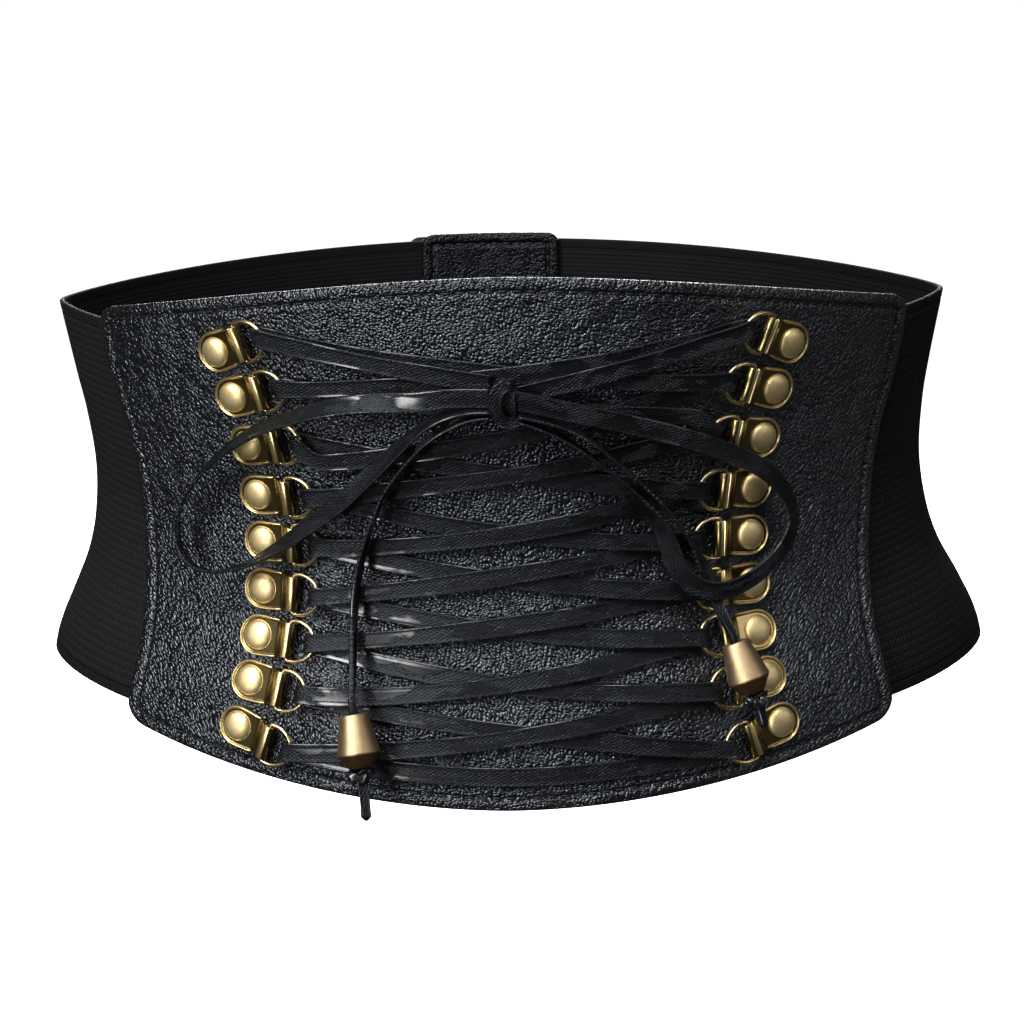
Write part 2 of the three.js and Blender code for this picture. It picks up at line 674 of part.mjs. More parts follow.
const innerFace = -bandWall - clearance - bendRoom / 2;
addPiece('back_tab_inner',
  backPiece(tabOffset, tabWidth, tabOverhang, tabCorner, innerFace - leatherWall, innerFace), leather);
addPiece('back_tab_outer',
  backPiece(tabOffset - tabStagger, tabWidth, tabOverhang - 1, tabCorner, clearance, panelFace), leather);
addPiece('back_closure',
  backPiece(tabOffset, closureWidth, (closureHeight - bandHeight) / 2, 0, -bandWall, 0), oldBrass);

const clip = clipGeometry();
const ring = ringGeometry();
for (const [side, word] of [[-1, 'left'], [1, 'right']]) {
  for (let row = 0; row < clipHeights.length; row += 1) {
    const matrix = frameMatrix(clipFrame(side, row));
    addPiece(`clip_${word}_${row + 1}`, clip, oldBrass, matrix);
    addPiece(`ring_${word}_${row + 1}`, ring, oldBrass, matrix);
  }
}

addPiece('lacing', lacingGeometry(), lace);
addPiece('bow_knot', knotGeometry(), lace);
addPiece('bow_loop_left', ribbon(routeStations(loopLeftRoute)), lace);
addPiece('bow_loop_right', ribbon(routeStations(loopRightRoute)), lace);
addPiece('lace_tail_left', ribbon(routeStations(tailLeftRoute)), lace);
addPiece('lace_tail_right', ribbon(routeStations(tailRightRoute)), lace);

const bell = bellGeometry();
const leftEnd = bellFrame([-40.9, -46.6, 11.3], 12);
const rightEnd = bellFrame([60.6, -31.4, 11.4], 13);
addPiece('cord_end_left', bell, copper, leftEnd);
addPiece('cord_end_right', bell, copper, rightEnd);
addPiece('end_knot_left', endKnotGeometry(12), lace, leftEnd);
addPiece('end_knot_right', endKnotGeometry(7), lace, rightEnd);

export default belt;
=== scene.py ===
"""A black lace-up corset belt with antique brass clips, for looks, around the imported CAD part.

Lengths are millimetres until a mesh is made. The front looks toward -Y, +X is the viewer's right, +Z is up.
"""

import math

import bmesh
import bpy
import numpy as np
from mathutils import Matrix, Vector


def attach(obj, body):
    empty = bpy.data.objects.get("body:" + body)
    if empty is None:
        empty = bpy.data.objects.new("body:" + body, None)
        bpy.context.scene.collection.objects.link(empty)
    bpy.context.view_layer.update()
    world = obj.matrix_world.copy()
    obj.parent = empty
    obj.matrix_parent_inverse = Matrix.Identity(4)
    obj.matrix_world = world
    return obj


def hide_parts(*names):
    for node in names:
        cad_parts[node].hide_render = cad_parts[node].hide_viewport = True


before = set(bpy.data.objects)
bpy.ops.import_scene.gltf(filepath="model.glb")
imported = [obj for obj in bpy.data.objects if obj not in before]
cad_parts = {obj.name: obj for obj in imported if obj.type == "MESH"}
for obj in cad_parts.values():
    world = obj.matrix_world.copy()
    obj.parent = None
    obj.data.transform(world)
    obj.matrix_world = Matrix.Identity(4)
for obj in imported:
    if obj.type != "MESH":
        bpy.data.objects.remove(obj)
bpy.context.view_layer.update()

MM = 0.001

# Body that the belt goes round
WAIST_WIDTH = 264.6
WAIST_DEPTH = 182.6
BAND_HEIGHT = 115.0
BAND_WALL = 1.5
BAND_TUCK = 15.0
BAND_SELVEDGE = 3.4
BAND_LOW = -BAND_HEIGHT / 2
SIDE_TURN = 0.15

# Leather
LEATHER_WALL = 2.0
PANEL_WIDTH = 219.3
PANEL_PEAK = 24.5
PANEL_DIP = 16.0
PANEL_PEAK_FALL = 20.2
PANEL_DIP_RISE = 11.3
PANEL_EDGE_BEND = 1.75
PANEL_CORNER = 5.5
TAB_WIDTH = 49.0
TAB_OFFSET = -4.6
TAB_STAGGER = 4.0
TAB_OVERHANG = 2.2
TAB_CORNER = 4.0
CLOSURE_WIDTH = 8.0
SEAM_INSET = 3.9
STITCH_PITCH = 4.0
STITCH_LENGTH = 3.1
STITCH_SINK = 0.22
THREAD = 0.36

# Clips and rings
CLIP_HEIGHTS = [0.488, 0.374, 0.249, 0.119, -0.007, -0.133, -0.254, -0.366, -0.479]
CLIP_ROWS = len(CLIP_HEIGHTS)
COLUMN_INSET = 39.75
COLUMN_FLARE = 10.7
COLUMN_WAIST = -3.0
PLATE_HEIGHT = 12.3
PLATE_WALL = 0.8
EYE_REACH = 11.4
EYE_RADIUS = 1.95
EYE_BORE = 1.12
EYE_LENGTH = 10.2
RIVET_RADIUS = 4.4
RIVET_RISE = 1.6
WIRE_RADIUS = 0.63
RING_DEPTH = 8.8
RING_HEIGHT = 11.8

# Lace
LACE_WIDTH = 5.8
LACE_THICKNESS = 1.0
LACE_SAG = 3.2
LACE_CURL = 0.07
TURN_CLIMB = 0.35
KNOT_WIDTH = 6.4
KNOT_CENTRE = 48.9
TIE_HIGH = 4.0
TIE_LOW = 0.6

# Bell-shaped lace ends
BELL_TOP = 4.0
BELL_WIDE = 6.25
BELL_FOOT = 3.3
BELL_HEIGHT = 15.5
BELL_SHOULDER = 11.1
BELL_BORE = 2.1
BELL_MOUTH = 2.7

CLEARANCE = 0.3
BEND_ROOM = 0.4
PANEL_FACE = CLEARANCE + LEATHER_WALL
PLATE_LIFT = CLEARANCE + BEND_ROOM
EYE_LIFT = PLATE_LIFT + EYE_RADIUS
LACE_LOW = CLEARANCE + BEND_ROOM + LACE_THICKNESS / 2
LACE_STEP = LACE_THICKNESS + CLEARANCE + 0.1
LACE_HIGH = LACE_LOW + LACE_STEP
TURN_RADIUS = WIRE_RADIUS + CLEARANCE + LACE_THICKNESS / 2

# Cross-sections of the body: height share of the band, width and depth shares, pinch, and lean
SECTIONS = np.array([
    (-0.33, 1.164, 1.19, 0.65, 0.0125), (-0.15, 1.16, 1.172, 0.66, 0.0125), (0, 1.147, 1.146, 0.67, 0.0122),
    (0.08, 1.128, 1.124, 0.675, 0.012), (0.18, 1.087, 1.084, 0.68, 0.0108), (0.29, 1.04, 1.04, 0.69, 0.0075),
    (0.4, 1.013, 1.013, 0.7, 0.005), (0.54, 1, 1, 0.72, 0.0022), (0.69, 1.009, 1.009, 0.74, -0.0004),
    (0.79, 1.023, 1.022, 0.76, -0.0019), (1, 1.055, 1.057, 0.8, -0.0026), (1.22, 1.087, 1.086, 0.82, -0.0042),
])
# Half width of the leather panel: height share, share of the half width at the waist
PANEL_SIDES = np.array([
    (-0.20, 1.056), (0.00, 1.056), (0.11, 1.030), (0.20, 1.011), (0.35, 0.999), (0.47, 1.005), (0.59, 1.014),
    (0.70, 1.035), (0.84, 1.076), (1.00, 1.104), (1.25, 1.115),
])
# A rivet's outline: share of its radius, height over the plate's foot
RIVET_DOME = [(1, 0.5), (1, 0.85), (0.985, 1.05), (0.94, 1.3), (0.85, 1.62), (0.7, 1.95), (0.5, 2.2)]
# A ring's centre line: shares of its depth and half height
RING_LINE = [(0, 0), (0, 0.86), (0.13, 1), (0.45, 0.96), (0.77, 0.71), (0.96, 0.32)]

# Heights of a lacing strand along its way from the ring that it leaves, in steps from the upper layer
STRAND_START, STRAND_END = [(0.05, 1.3), (0.11, 0.9), (0.215, 0)], [(0.79, -1), (0.9, -1)]
STRAND_OVER = [*STRAND_START, (0.35, 0), (0.5, 0), (0.65, 0), (0.71, 0), *STRAND_END]
STRAND_UNDER = [*STRAND_START, (0.29, -1), (0.4, -1), (0.5, -1), (0.65, -1), *STRAND_END]
# How far a strand hangs below its straight line, and how near its start it hangs lowest: 1 is the middle
SAGS_DOWN = [(0.8, 1), (6, 0.35), (-0.8, 1), (1.6, 0.7), (0.5, 1.3), (-1, 1), (1.5, 1), (0.7, 0.8)]
SAGS_UP = [(-0.9, 1), (1.4, 0.7), (0.6, 1), (-1.2, 1.2), (1.7, 0.8), (-0.6, 1), (-6, 0.35), (1, 1)]
TIE_LEVELS = [(0.06, 1.4), (0.2, 1.15), (0.45, 1.05), (0.7, 1.05), (1, 1.05)]
FOOT_LEVELS = [(share, -1) for share in (0.08, 0.2, 0.35, 0.5, 0.65, 0.8, 0.92)]

# Routes of the bow on the panel: across, up, height above the leather, how far the lace stands on its edge
# in degrees, and its width and thickness where they change. Each starts at the knot's side.
LOOP_LEFT = [
    (-3.5, 50.3, 8.1, 0), (-14.0, 50.2, 8.1, 0), (-23.1, 48.9, 8.1, 12), (-39.2, 47.4, 8.1, 40),
    (-53.4, 43.1, 8.3, 58), (-67.2, 36.0, 8.6, 60), (-79.6, 24.5, 8.7, 66), (-87.4, 12.9, 8.7, 62),
    (-91.0, 1.1, 8.7, 58), (-89.6, -7.6, 8.7, 62), (-84.0, -11.4, 8.7, 76), (-72.8, -8.0, 8.7, 103),
    (-62.5, -0.8, 8.7, 126), (-54.3, 7.0, 8.5, 142), (-44.2, 16.6, 8.1, 150), (-35.9, 25.8, 7.8, 140),
    (-27.9, 34.6, 7.6, 120), (-20.6, 41.9, 7.5, 102), (-14.6, 45.2, 7.5, 95), (-9.0, 46.5, 7.5, 91),
    (-3.5, 46.7, 7.5, 90),
]
LOOP_RIGHT = [
    (1.2, 50.0, 8.1, 180), (15.7, 46.0, 8.1, 180), (30.3, 41.4, 8.1, 178), (45.3, 35.7, 8.2, 170),
    (57.0, 29.8, 8.5, 164), (68.8, 21.6, 8.7, 160), (75.8, 12.7, 8.8, 160), (77.9, 2.2, 8.8, 160),
    (75.6, -4.6, 8.8, 160), (70.9, -9.4, 9.1, 160), (65.2, -12.9, 9.5, 160), (58.9, -14.8, 9.6, 162),
    (52.6, -13.6, 9.2, 165), (46.8, -8.0, 8.5, 162), (43.9, 0.0, 7.8, 152), (41.4, 7.4, 7.6, 128),
    (36.6, 15.6, 7.6, 105), (29.4, 24.2, 7.5, 95), (22.2, 31.6, 7.5, 92), (17.0, 36.2, 7.5, 90),
    (12.0, 39.6, 7.5, 90), (7.4, 42.0, 7.5, 90), (3.5, 43.6, 7.5, 90),
]
TAIL_LEFT = [
    (-3.5, 45.2, 7.5, 88), (-8.8, 44.4, 7.5, 88), (-13.8, 42.2, 7.5, 86), (-19.6, 38.0, 7.5, 86),
    (-26.4, 29.9, 7.5, 86), (-31.7, 20.9, 7.5, 88), (-35.1, 12.0, 7.5, 88), (-38.3, 1.0, 7.5, 88, 5.6, 1.2),
    (-40.5, -10.1, 7.5, 88, 5.2, 1.4), (-41.4, -21.4, 7.8, 86, 4.6, 1.6),
    (-41.6, -33.4, 8.8, 84, 3.6, 1.8), (-41.5, -40.6, 10.3, 76, 2.9, 1.9),
    (-41.3, -44.6, 11.1, 60, 2.6, 2.1), (-41.0, -46.1, 11.3, 50, 2.5, 2.1),
    (-40.6, -48.1, 11.3, 50, 2.4, 2.1),
]
TAIL_RIGHT = [
    (3.5, 45.3, 7.5, 90), (9.0, 43.7, 7.5, 90), (14.0, 41.9, 7.5, 90), (19.0, 39.0, 7.5, 90),
    (25.0, 33.9, 7.5, 92), (31.5, 26.8, 7.5, 92), (36.6, 20.9, 7.5, 92), (41.8, 14.4, 7.5, 92, 5.7),
    (48.2, 3.6, 8.1, 105, 5.4), (52.5, -5.2, 7.3, 140, 4.8), (55.3, -11.4, 6.7, 172, 4.3, 1.1),
    (57.2, -18.6, 7.2, 180, 3.6, 1.5), (58.7, -24.4, 9.4, 170, 3, 1.8), (60.0, -29.0, 11.0, 160, 2.7, 2),
    (60.4, -30.8, 11.4, 160, 2.5, 2.1), (60.9, -33.0, 11.4, 160, 2.4, 2.1),
]
# The wrap over the knot, from its top down the left side and under: across, outward, up, stand in degrees,
# width and thickness
KNOT_CURL = [
    (2.6, 0.6, 4.9, 40, 3.4, 1.6), (1.4, 2.0, 5.5, 30, 3.6, 1.9), (-0.4, 2.9, 5.4, 15, 3.8, 2.1),
    (-1.9, 3.1, 4.0, 5, 3.9, 2.2), (-2.5, 3.2, 1.9, 0, 3.9, 2.2), (-2.6, 3.2, -0.4, -5, 3.8, 2.2),
    (-2.0, 3.2, -2.7, -8, 3.8, 2.2), (-0.7, 3.0, -4.6, -10, 3.7, 2.1), (1.1, 2.6, -5.5, -10, 3.5, 2.0),
    (2.9, 1.8, -5.3, -10, 3.2, 1.8), (4.0, 0.4, -4.4, -20, 2.8, 1.6),
]
# Place of each bell on the panel and its tilt in degrees
LEFT_END = ((-40.9, -46.6, 11.3), 12)
RIGHT_END = ((60.6, -31.4, 11.4), 13)

# Room
FLOOR_DROP = 300.0
ROOM_LIGHT = 0.055


def put(name, data):
    thing = bpy.data.objects.new(name, data)
    bpy.context.scene.collection.objects.link(thing)
    return thing


# Camera at the photograph's angle
def photo_camera():
    distance, elevation, roll = 819.3, math.radians(16.34), math.radians(-0.818)
    target = Vector((1.72, 0, -14.9)) * MM
    back = Vector((0, -math.cos(elevation), math.sin(elevation)))
    data = bpy.data.cameras.new("photo_camera")
    data.sensor_width = 36
    data.lens = 88.92
    data.clip_start = 0.01
    camera = put("photo_camera", data)
    turn = back.to_track_quat("Z", "Y").to_matrix().to_4x4() @ Matrix.Rotation(roll, 4, "Z")
    camera.matrix_world = Matrix.Translation(target + back * distance * MM) @ turn
    bpy.context.scene.camera = camera


# Shape of the body and places on the belt
def hermite(t, start, end, leaving, arriving):
    """A cubic curve between two values with its slopes there."""
    return ((2 * t**3 - 3 * t**2 + 1) * start + (3 * t**2 - 2 * t**3) * end
            + (t**3 - 2 * t**2 + t) * leaving + (t**3 - t**2) * arriving)


def bent(t, start, corner, end):
    """A curve between two points that bends towards a corner."""
    return (1 - t) ** 2 * start + 2 * t * (1 - t) * corner + t**2 * end


def smooth(table, column, share):
    """A table column at a share of the height, as a smooth curve through its rows."""
    x, y = table[:, 0], table[:, column]
    at = np.clip(share, x[0], x[-1])
    i = np.clip(np.searchsorted(x, at) - 1, 0, len(x) - 2)
    low, high = np.maximum(np.arange(len(x)) - 1, 0), np.minimum(np.arange(len(x)) + 1, len(x) - 1)
    slope = (y[high] - y[low]) / (x[high] - x[low])
    span = x[i + 1] - x[i]
    return hermite((at - x[i]) / span, y[i], y[i + 1], span * slope[i], span * slope[i + 1])


def share_of(z):
    return (np.asarray(z, float) - BAND_LOW) / BAND_HEIGHT


def half_width_and_lean(z):
    share = share_of(z)
    return smooth(SECTIONS, 1, share) * WAIST_WIDTH / 2, smooth(SECTIONS, 4, share) * WAIST_WIDTH


def body_point(angle, z):
    half_width, lean = half_width_and_lean(z)
    half_depth = smooth(SECTIONS, 2, share_of(z)) * WAIST_DEPTH / 2
    pinch = smooth(SECTIONS, 3, share_of(z))
    c = np.cos(angle)
    turn = SIDE_TURN**2
    reach = c * ((c * c + turn) / (1 + turn)) ** (pinch - 0.5)
    return np.stack([lean + half_width * np.sin(angle), -half_depth * reach, z + 0 * angle], -1)


def unit(v):
    return v / np.linalg.norm(v, axis=-1, keepdims=True)


def skin(angle, z, height):
    """Points at a height above the body line, with the outward and upward directions there."""
    angle, z, height = np.broadcast_arrays(*(np.asarray(given, float) for given in (angle, z, height)))
    along = unit(body_point(angle + 0.004, z) - body_point(angle - 0.004, z))
    up = unit(body_point(angle, z + 0.4) - body_point(angle, z - 0.4))
    out = unit(np.cross(along, up))
    return body_point(angle, z) + out * height[..., None], out, unit(np.cross(out, along))


def front_angle(x, z):
    half_width, lean = half_width_and_lean(z)
    return np.arcsin(np.clip((x - lean) / half_width, -1, 1))


def on_panel(x, z, height):
    return skin(front_angle(x, z), z, PANEL_FACE + height)


def under_point(point):
    """The place and height on the panel's face of a point in space or of a station."""
    point = np.array(point[:3])
    x, z, height = point[0], point[2], 0.0
    for _ in range(8):
        base, out, _up = on_panel(x, z, 0)
        away = point - base
        height = float(away @ out)
        away = away - out * height
        x, z = x + away[0], z + away[2]
    return np.array([x, z, height])


def panel_half_width(z):
    return smooth(PANEL_SIDES, 1, share_of(z)) * PANEL_WIDTH / 2


def panel_top(u):
    return -BAND_LOW + PANEL_PEAK - PANEL_PEAK_FALL * np.abs(u) ** PANEL_EDGE_BEND


def panel_foot(u):
    return BAND_LOW - PANEL_DIP + PANEL_DIP_RISE * np.abs(u) ** PANEL_EDGE_BEND


def corner_fall(distance, corner):
    inside = np.maximum(corner - distance, 0)
    return corner - np.sqrt(np.maximum(corner**2 - inside**2, 0))


def round_edge(distance, half_wall):
    """Share of its thickness that a sheet has at a distance from its rounded edge."""
    return np.sqrt(1 - (1 - np.clip(distance / half_wall, 0, 1)) ** 2)


# Mesh making
def add_object(name, points, faces, corner_uvs=None, material_index=None, sharp=None):
    """One object from points in mm and faces as lists of indices. Points that coincide are merged."""
    mesh = bpy.data.meshes.new(name)
    mesh.from_pydata((np.asarray(points, float) * MM).tolist(), [], [list(f) for f in faces])
    if corner_uvs is not None:
        layer = mesh.uv_layers.new(name="UVMap")
        layer.data.foreach_set("uv", np.asarray(corner_uvs, float).ravel())
    if material_index is not None:
        mesh.polygons.foreach_set("material_index", np.asarray(material_index, int))
    mesh.shade_smooth()
    work = bmesh.new()
    work.from_mesh(mesh)
    bmesh.ops.remove_doubles(work, verts=work.verts, dist=2e-6)
    bmesh.ops.recalc_face_normals(work, faces=work.faces)
    work.to_mesh(mesh)
    work.free()
    if sharp:
        mesh.set_sharp_from_angle(angle=math.radians(sharp))
    return put(name, mesh)


def dress(piece, materials, replaced=()):
    for material in materials:
        piece.data.materials.append(material)
    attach(piece, "root")
    if replaced:
        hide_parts(*replaced)
    return piece


def run_along(points):
    """The way run along a line at each of its points."""
    return np.concatenate([[0], np.cumsum(np.linalg.norm(np.diff(points, axis=0), axis=1))])


def grid_faces(rows, columns, first=0, close=False):
    """Quads of a grid of points, row by row, as an array of corner indices and one of (row, column) pairs."""
    j, i = np.meshgrid(np.arange(rows - 1), np.arange(columns if close else columns - 1), indexing="ij")
    corners = np.stack([np.stack([j, i], -1), np.stack([j, i + 1], -1), np.stack([j + 1, i + 1], -1),
                        np.stack([j + 1, i], -1)], -2).reshape(-1, 4, 2)
    index = first + corners[..., 0] * columns + corners[..., 1] % columns
    return index, corners


def two_faced(name, top, bottom, uv_top, uv_bottom, slots):
    """A closed sheet from two grids of points that share their border, with a material slot for each."""
    rows, columns = top.shape[:2]
    faces, corners = grid_faces(rows, columns)
    points = np.concatenate([top, bottom]).reshape(-1, 3)
    under, under_corners = faces[:, ::-1] + rows * columns, corners[:, ::-1]
    uvs = np.concatenate([uv_top[corners[..., 0], corners[..., 1]],
                          uv_bottom[under_corners[..., 0], under_corners[..., 1]]])
    return add_object(name, points, np.concatenate([faces, under]), uvs, np.repeat(slots, len(faces)))


EDGE_STEPS = np.array([0, 0.04, 0.16, 0.4, 0.7, 1.0, 1.5, 2.1, 2.7, 3.2, 3.55, 3.9, 4.25, 4.6, 5.1, 5.8, 6.8])


def edge_graded(low, high, count):
    """Places from low to high: the edge steps at both ends and even ones between. Arrays run along axis 0."""
    low, high = np.asarray(low, float), np.asarray(high, float)
    reach = EDGE_STEPS[-1]
    steps = [low + s for s in EDGE_STEPS]
    steps += [low + reach + (high - low - 2 * reach) * (k / count) for k in range(1, count)]
    steps += [high - s for s in EDGE_STEPS[::-1]]
    return np.stack(steps)


def seam_relief(distance, along):
    """Height of leather near a sewn edge: a roll outside the seam, one inside, a groove, and puckers."""
    def ridge(place, width):
        return np.exp(-((distance - place) / width) ** 2)

    pucker = np.cos(2 * np.pi * along / STITCH_PITCH)
    groove = (0.52 + 0.16 * pucker) * ridge(SEAM_INSET, 0.55)
    return 0.30 * ridge(2.2, 1.25) + 0.22 * ridge(5.6, 1.1) - groove - 0.06 * pucker * ridge(2.4, 1.2)


def leather_piece(name, lift, outline, corner, inner, show, counts, swell=None):
    """A leather piece with a sewn edge. The outline is functions for its half width, foot and top, and
    lift(x, z, height) gives points. Show is 1 where the outer face is the leather's right side, -1 where the
    inner one is."""
    half_width, foot, top = outline
    half_mid = float(half_width(np.array(0.0)))
    x_at = edge_graded(-half_mid, half_mid, counts[0])
    u = x_at / half_mid
    side_gap = half_mid - np.abs(x_at)
    low = foot(u) + corner_fall(side_gap, corner)
    high = top(u) - corner_fall(side_gap, corner)
    z = edge_graded(low, high, counts[1])
    x = u[None, :] * half_width(z)
    from_side = half_width(z) - np.abs(x)
    from_edge = np.minimum(z - foot(u)[None, :], top(u)[None, :] - z)
    in_corner = (from_side < corner) & (from_edge < corner)
    rounded = corner - np.hypot(corner - from_side, corner - from_edge)
    distance = np.maximum(np.where(in_corner, rounded, np.minimum(from_side, from_edge)), 0)
    distance[:, [0, -1]] = 0
    distance[[0, -1], :] = 0
    along = np.where(from_side < from_edge, z, x)
    relief = seam_relief(distance, along) * np.clip(distance / 1.2, 0, 1)
    if swell is not None:
        relief = relief + swell(x, z) * np.clip((distance - 4) / 6, 0, 1)
    half_wall = LEATHER_WALL / 2
    middle = inner + half_wall
    bulge = half_wall * round_edge(distance, half_wall)
    upper = middle + bulge + (relief if show > 0 else 0)
    lower = middle - bulge - (relief if show < 0 else 0)
    uvs = [np.stack([x, z], -1), np.stack([x + 400, z + 130], -1)][::show]
    return two_faced(name, lift(x, z, upper)[0], lift(x, z, lower)[0], *uvs, [0, 1][::show])


def seam_line(half_width, foot, top, corner, inset):
    """The line of a seam at an inset from the outline, as dense (x, z) points in order."""
    half = float(half_width(np.array(0.0)))
    radius = max(corner - inset, 0.8)
    x_share = (half - inset - radius) / half
    across = np.linspace(-x_share, x_share, 400)
    foot_z, top_z = foot(across) + inset, top(across) - inset
    foot_line = np.stack([across * half_width(foot_z), foot_z], -1)
    top_line = np.stack([across * half_width(top_z), top_z], -1)[::-1]
    side_z = np.linspace(foot_z[-1] + radius, top_z[-1] - radius, 300)
    right = np.stack([half_width(side_z) - inset, side_z], -1)
    line = [foot_line, right, top_line, right[::-1] * [-1, 1]]
    joined = []
    t = np.linspace(0, 1, 12)[1:-1, None]
    for k, here in enumerate(line):
        a, b = here[-1], line[(k + 1) % 4][0]
        corner_point = np.array([a[0], b[1]] if k % 2 else [b[0], a[1]])
        joined += [here, bent(t, a, corner_point, b)]
    return np.concatenate(joined)


def around(count):
    return np.linspace(0, 2 * np.pi, count, endpoint=False)


def interpolated(at, run, rows):
    return np.stack([np.interp(at, run, column) for column in rows.T], -1)


def thread(name, line, lift, height, flip):
    """Stitches along a closed (x, z) line on a surface, each a short rounded bar that dips at its ends."""
    loop = np.concatenate([line, line[:1]])
    points, out, _up = lift(loop[:, 0], loop[:, 1], height)
    run = run_along(points)
    count = int(round(run[-1] / STITCH_PITCH))
    sides = 8
    share = np.linspace(-1, 1, 7)
    radius = THREAD * np.sqrt(np.maximum(1 - share**6, 0.02))
    turn = around(sides)
    verts, faces = [], []
    for k in range(count):
        at = np.mod(k * run[-1] / count + share * STITCH_LENGTH / 2, run[-1])
        centre = interpolated(at, run, points)
        away = flip * unit(interpolated(at, run, out))
        aside = unit(np.cross(away, unit(centre[-1] - centre[0])))
        centre = centre - away * (0.5 * share**4)[:, None]
        ring = centre[:, None] + radius[:, None, None] * (
            aside[:, None] * np.cos(turn)[None, :, None] * 1.1 + away[:, None] * np.sin(turn)[None, :, None])
        first = k * len(share) * sides
        verts.append(ring.reshape(-1, 3))
        faces += grid_faces(len(share), sides, first, close=True)[0].tolist()
        faces += [list(range(start, start + sides)) for start in (first, first + (len(share) - 1) * sides)]
    return add_object(name, np.concatenate(verts), faces)


def spline(values, spacing):
    """A smooth line through rows of values, the first three of which are a point, at even spacing."""
    values = np.asarray(values, float)
    padded = np.concatenate([2 * values[:1] - values[1:2], values, 2 * values[-1:] - values[-2:-1]])
    t = np.linspace(0, 1, 24, endpoint=False)[:, None]
    fine = []
    for i in range(1, len(padded) - 2):
        p0, p1, p2, p3 = padded[i - 1:i + 3]
        gaps = [max(np.linalg.norm((b - a)[:3]), 1e-6) ** 0.5 for a, b in ((p0, p1), (p1, p2), (p2, p3))]
        m1 = (p2 - p1) / gaps[1] - (p2 - p0) / (gaps[0] + gaps[1]) + (p1 - p0) / gaps[0]
        m2 = (p3 - p2) / gaps[2] - (p3 - p1) / (gaps[1] + gaps[2]) + (p2 - p1) / gaps[1]
        fine.append(hermite(t, p1, p2, m1 * gaps[1], m2 * gaps[1]))
    fine = np.concatenate(fine + [values[-1:]])
    run = run_along(fine[:, :3])
    at = np.linspace(0, run[-1], max(int(run[-1] / spacing), 8) + 1)
    return interpolated(at, run, fine), at


# Half of a lace's outline: shares of its width and thickness, with a rounded bead along the edge
LACE_BEAD = [(0.492, 0.24), (0.468, 0.41), (0.43, 0.47), (0.392, 0.44), (0.355, 0.36), (0.2, 0.37)]
LACE_OUTLINE = [(0.5, 0), *LACE_BEAD, (0, 0.38), *((-x, y) for x, y in LACE_BEAD[::-1])]


def braid_shape(stations, spacing=1.1):
    """Points, faces and corner uvs of a flat braided lace through rows of point, across, width, thickness.
    Its uv is millimetres along and across."""
    rows, run = spline(stations, spacing)
    centre, across, width, thickness = rows[:, :3], rows[:, 3:6], rows[:, 6], rows[:, 7]
    ahead = unit(np.gradient(centre, axis=0))
    across = unit(across - ahead * np.sum(across * ahead, axis=1, keepdims=True))
    face = np.cross(ahead, across)
    half = np.array(LACE_OUTLINE)
    x, y = np.concatenate([half, -half]).T
    ring = (centre[:, None] + across[:, None] * (x[None] * width[:, None])[..., None]
            + face[:, None] * (y[None] * thickness[:, None])[..., None])
    n, sides = ring.shape[:2]
    faces, corners = grid_faces(n, sides, close=True)
    u = run[corners[..., 0]]
    v = x[corners[..., 1] % sides] * width[corners[..., 0]]
    uvs = np.stack([u, v], -1).reshape(-1, 2).tolist()
    faces = faces.tolist()
    for start in (0, (n - 1) * sides):
        faces.append(list(range(start, start + sides)))
        uvs += [[0, 0]] * sides
    return ring.reshape(-1, 3), faces, uvs, centre


def join_shapes(shapes):
    points, faces, uvs, first = [], [], [], 0
    for p, f, uv in shapes:
        points.append(p)
        faces += [[k + first for k in face] for face in f]
        uvs += list(uv)
        first += len(p)
    return np.concatenate(points), faces, uvs


# Clips and lacing
def clip_frame(side, row):
    z = CLIP_HEIGHTS[row] * BAND_HEIGHT

    def column(height):
        bend = (height - COLUMN_WAIST) / (BAND_HEIGHT / 2)
        return side * (PANEL_WIDTH / 2 - COLUMN_INSET + COLUMN_FLARE * bend * bend)

    point, out, _up = on_panel(column(z), z, 0)
    climb = on_panel(column(z + 1), z + 1, 0)[0] - on_panel(column(z - 1), z - 1, 0)[0]
    inward = unit(np.cross(out, climb)) * side
    x, seat_z, _h = under_point(point + inward * EYE_REACH / 2)
    face, out, _up = on_panel(x, seat_z, 0)
    inward = unit(inward - out * float(inward @ out))
    along = unit(np.cross(out, inward))
    return face - inward * EYE_REACH / 2, inward, along, out


def placed(origin, x_axis, y_axis, z_axis):
    return Matrix(np.stack([x_axis, y_axis, z_axis, origin * MM], -1).tolist()).to_4x4()


def lace_turn(side, row):
    origin, inward, along, out = clip_frame(side, row)
    up = along if along[2] > 0 else -along
    centre = origin + inward * (EYE_REACH + RING_DEPTH - 2 * WIRE_RADIUS - BEND_ROOM) + out * EYE_LIFT
    stations = []
    for share in np.linspace(-0.5, 0.5, 5):
        round_wire = out * math.sin(math.pi * share) - inward * math.cos(math.pi * share)
        point = centre + round_wire * TURN_RADIUS + up * TURN_CLIMB * share
        stations.append([*point, *up, LACE_WIDTH, LACE_THICKNESS])
    return stations


def strand(start, end, levels, sag=(0, 1), curl=LACE_CURL):
    """Stations between two places. The lace is a little narrower where it curls."""
    stations = []
    for share, level in levels:
        x = start[0] + (end[0] - start[0]) * share
        z = start[1] + (end[1] - start[1]) * share - sag[0] * math.sin(math.pi * share ** sag[1])
        point, _out, up = on_panel(x, z, LACE_HIGH + level * LACE_STEP)
        width = LACE_WIDTH * (1 - curl + curl * math.sin(9 * share + 5 * sag[0] + start[1]))
        stations.append([*point, *up, width, LACE_THICKNESS])
    return stations


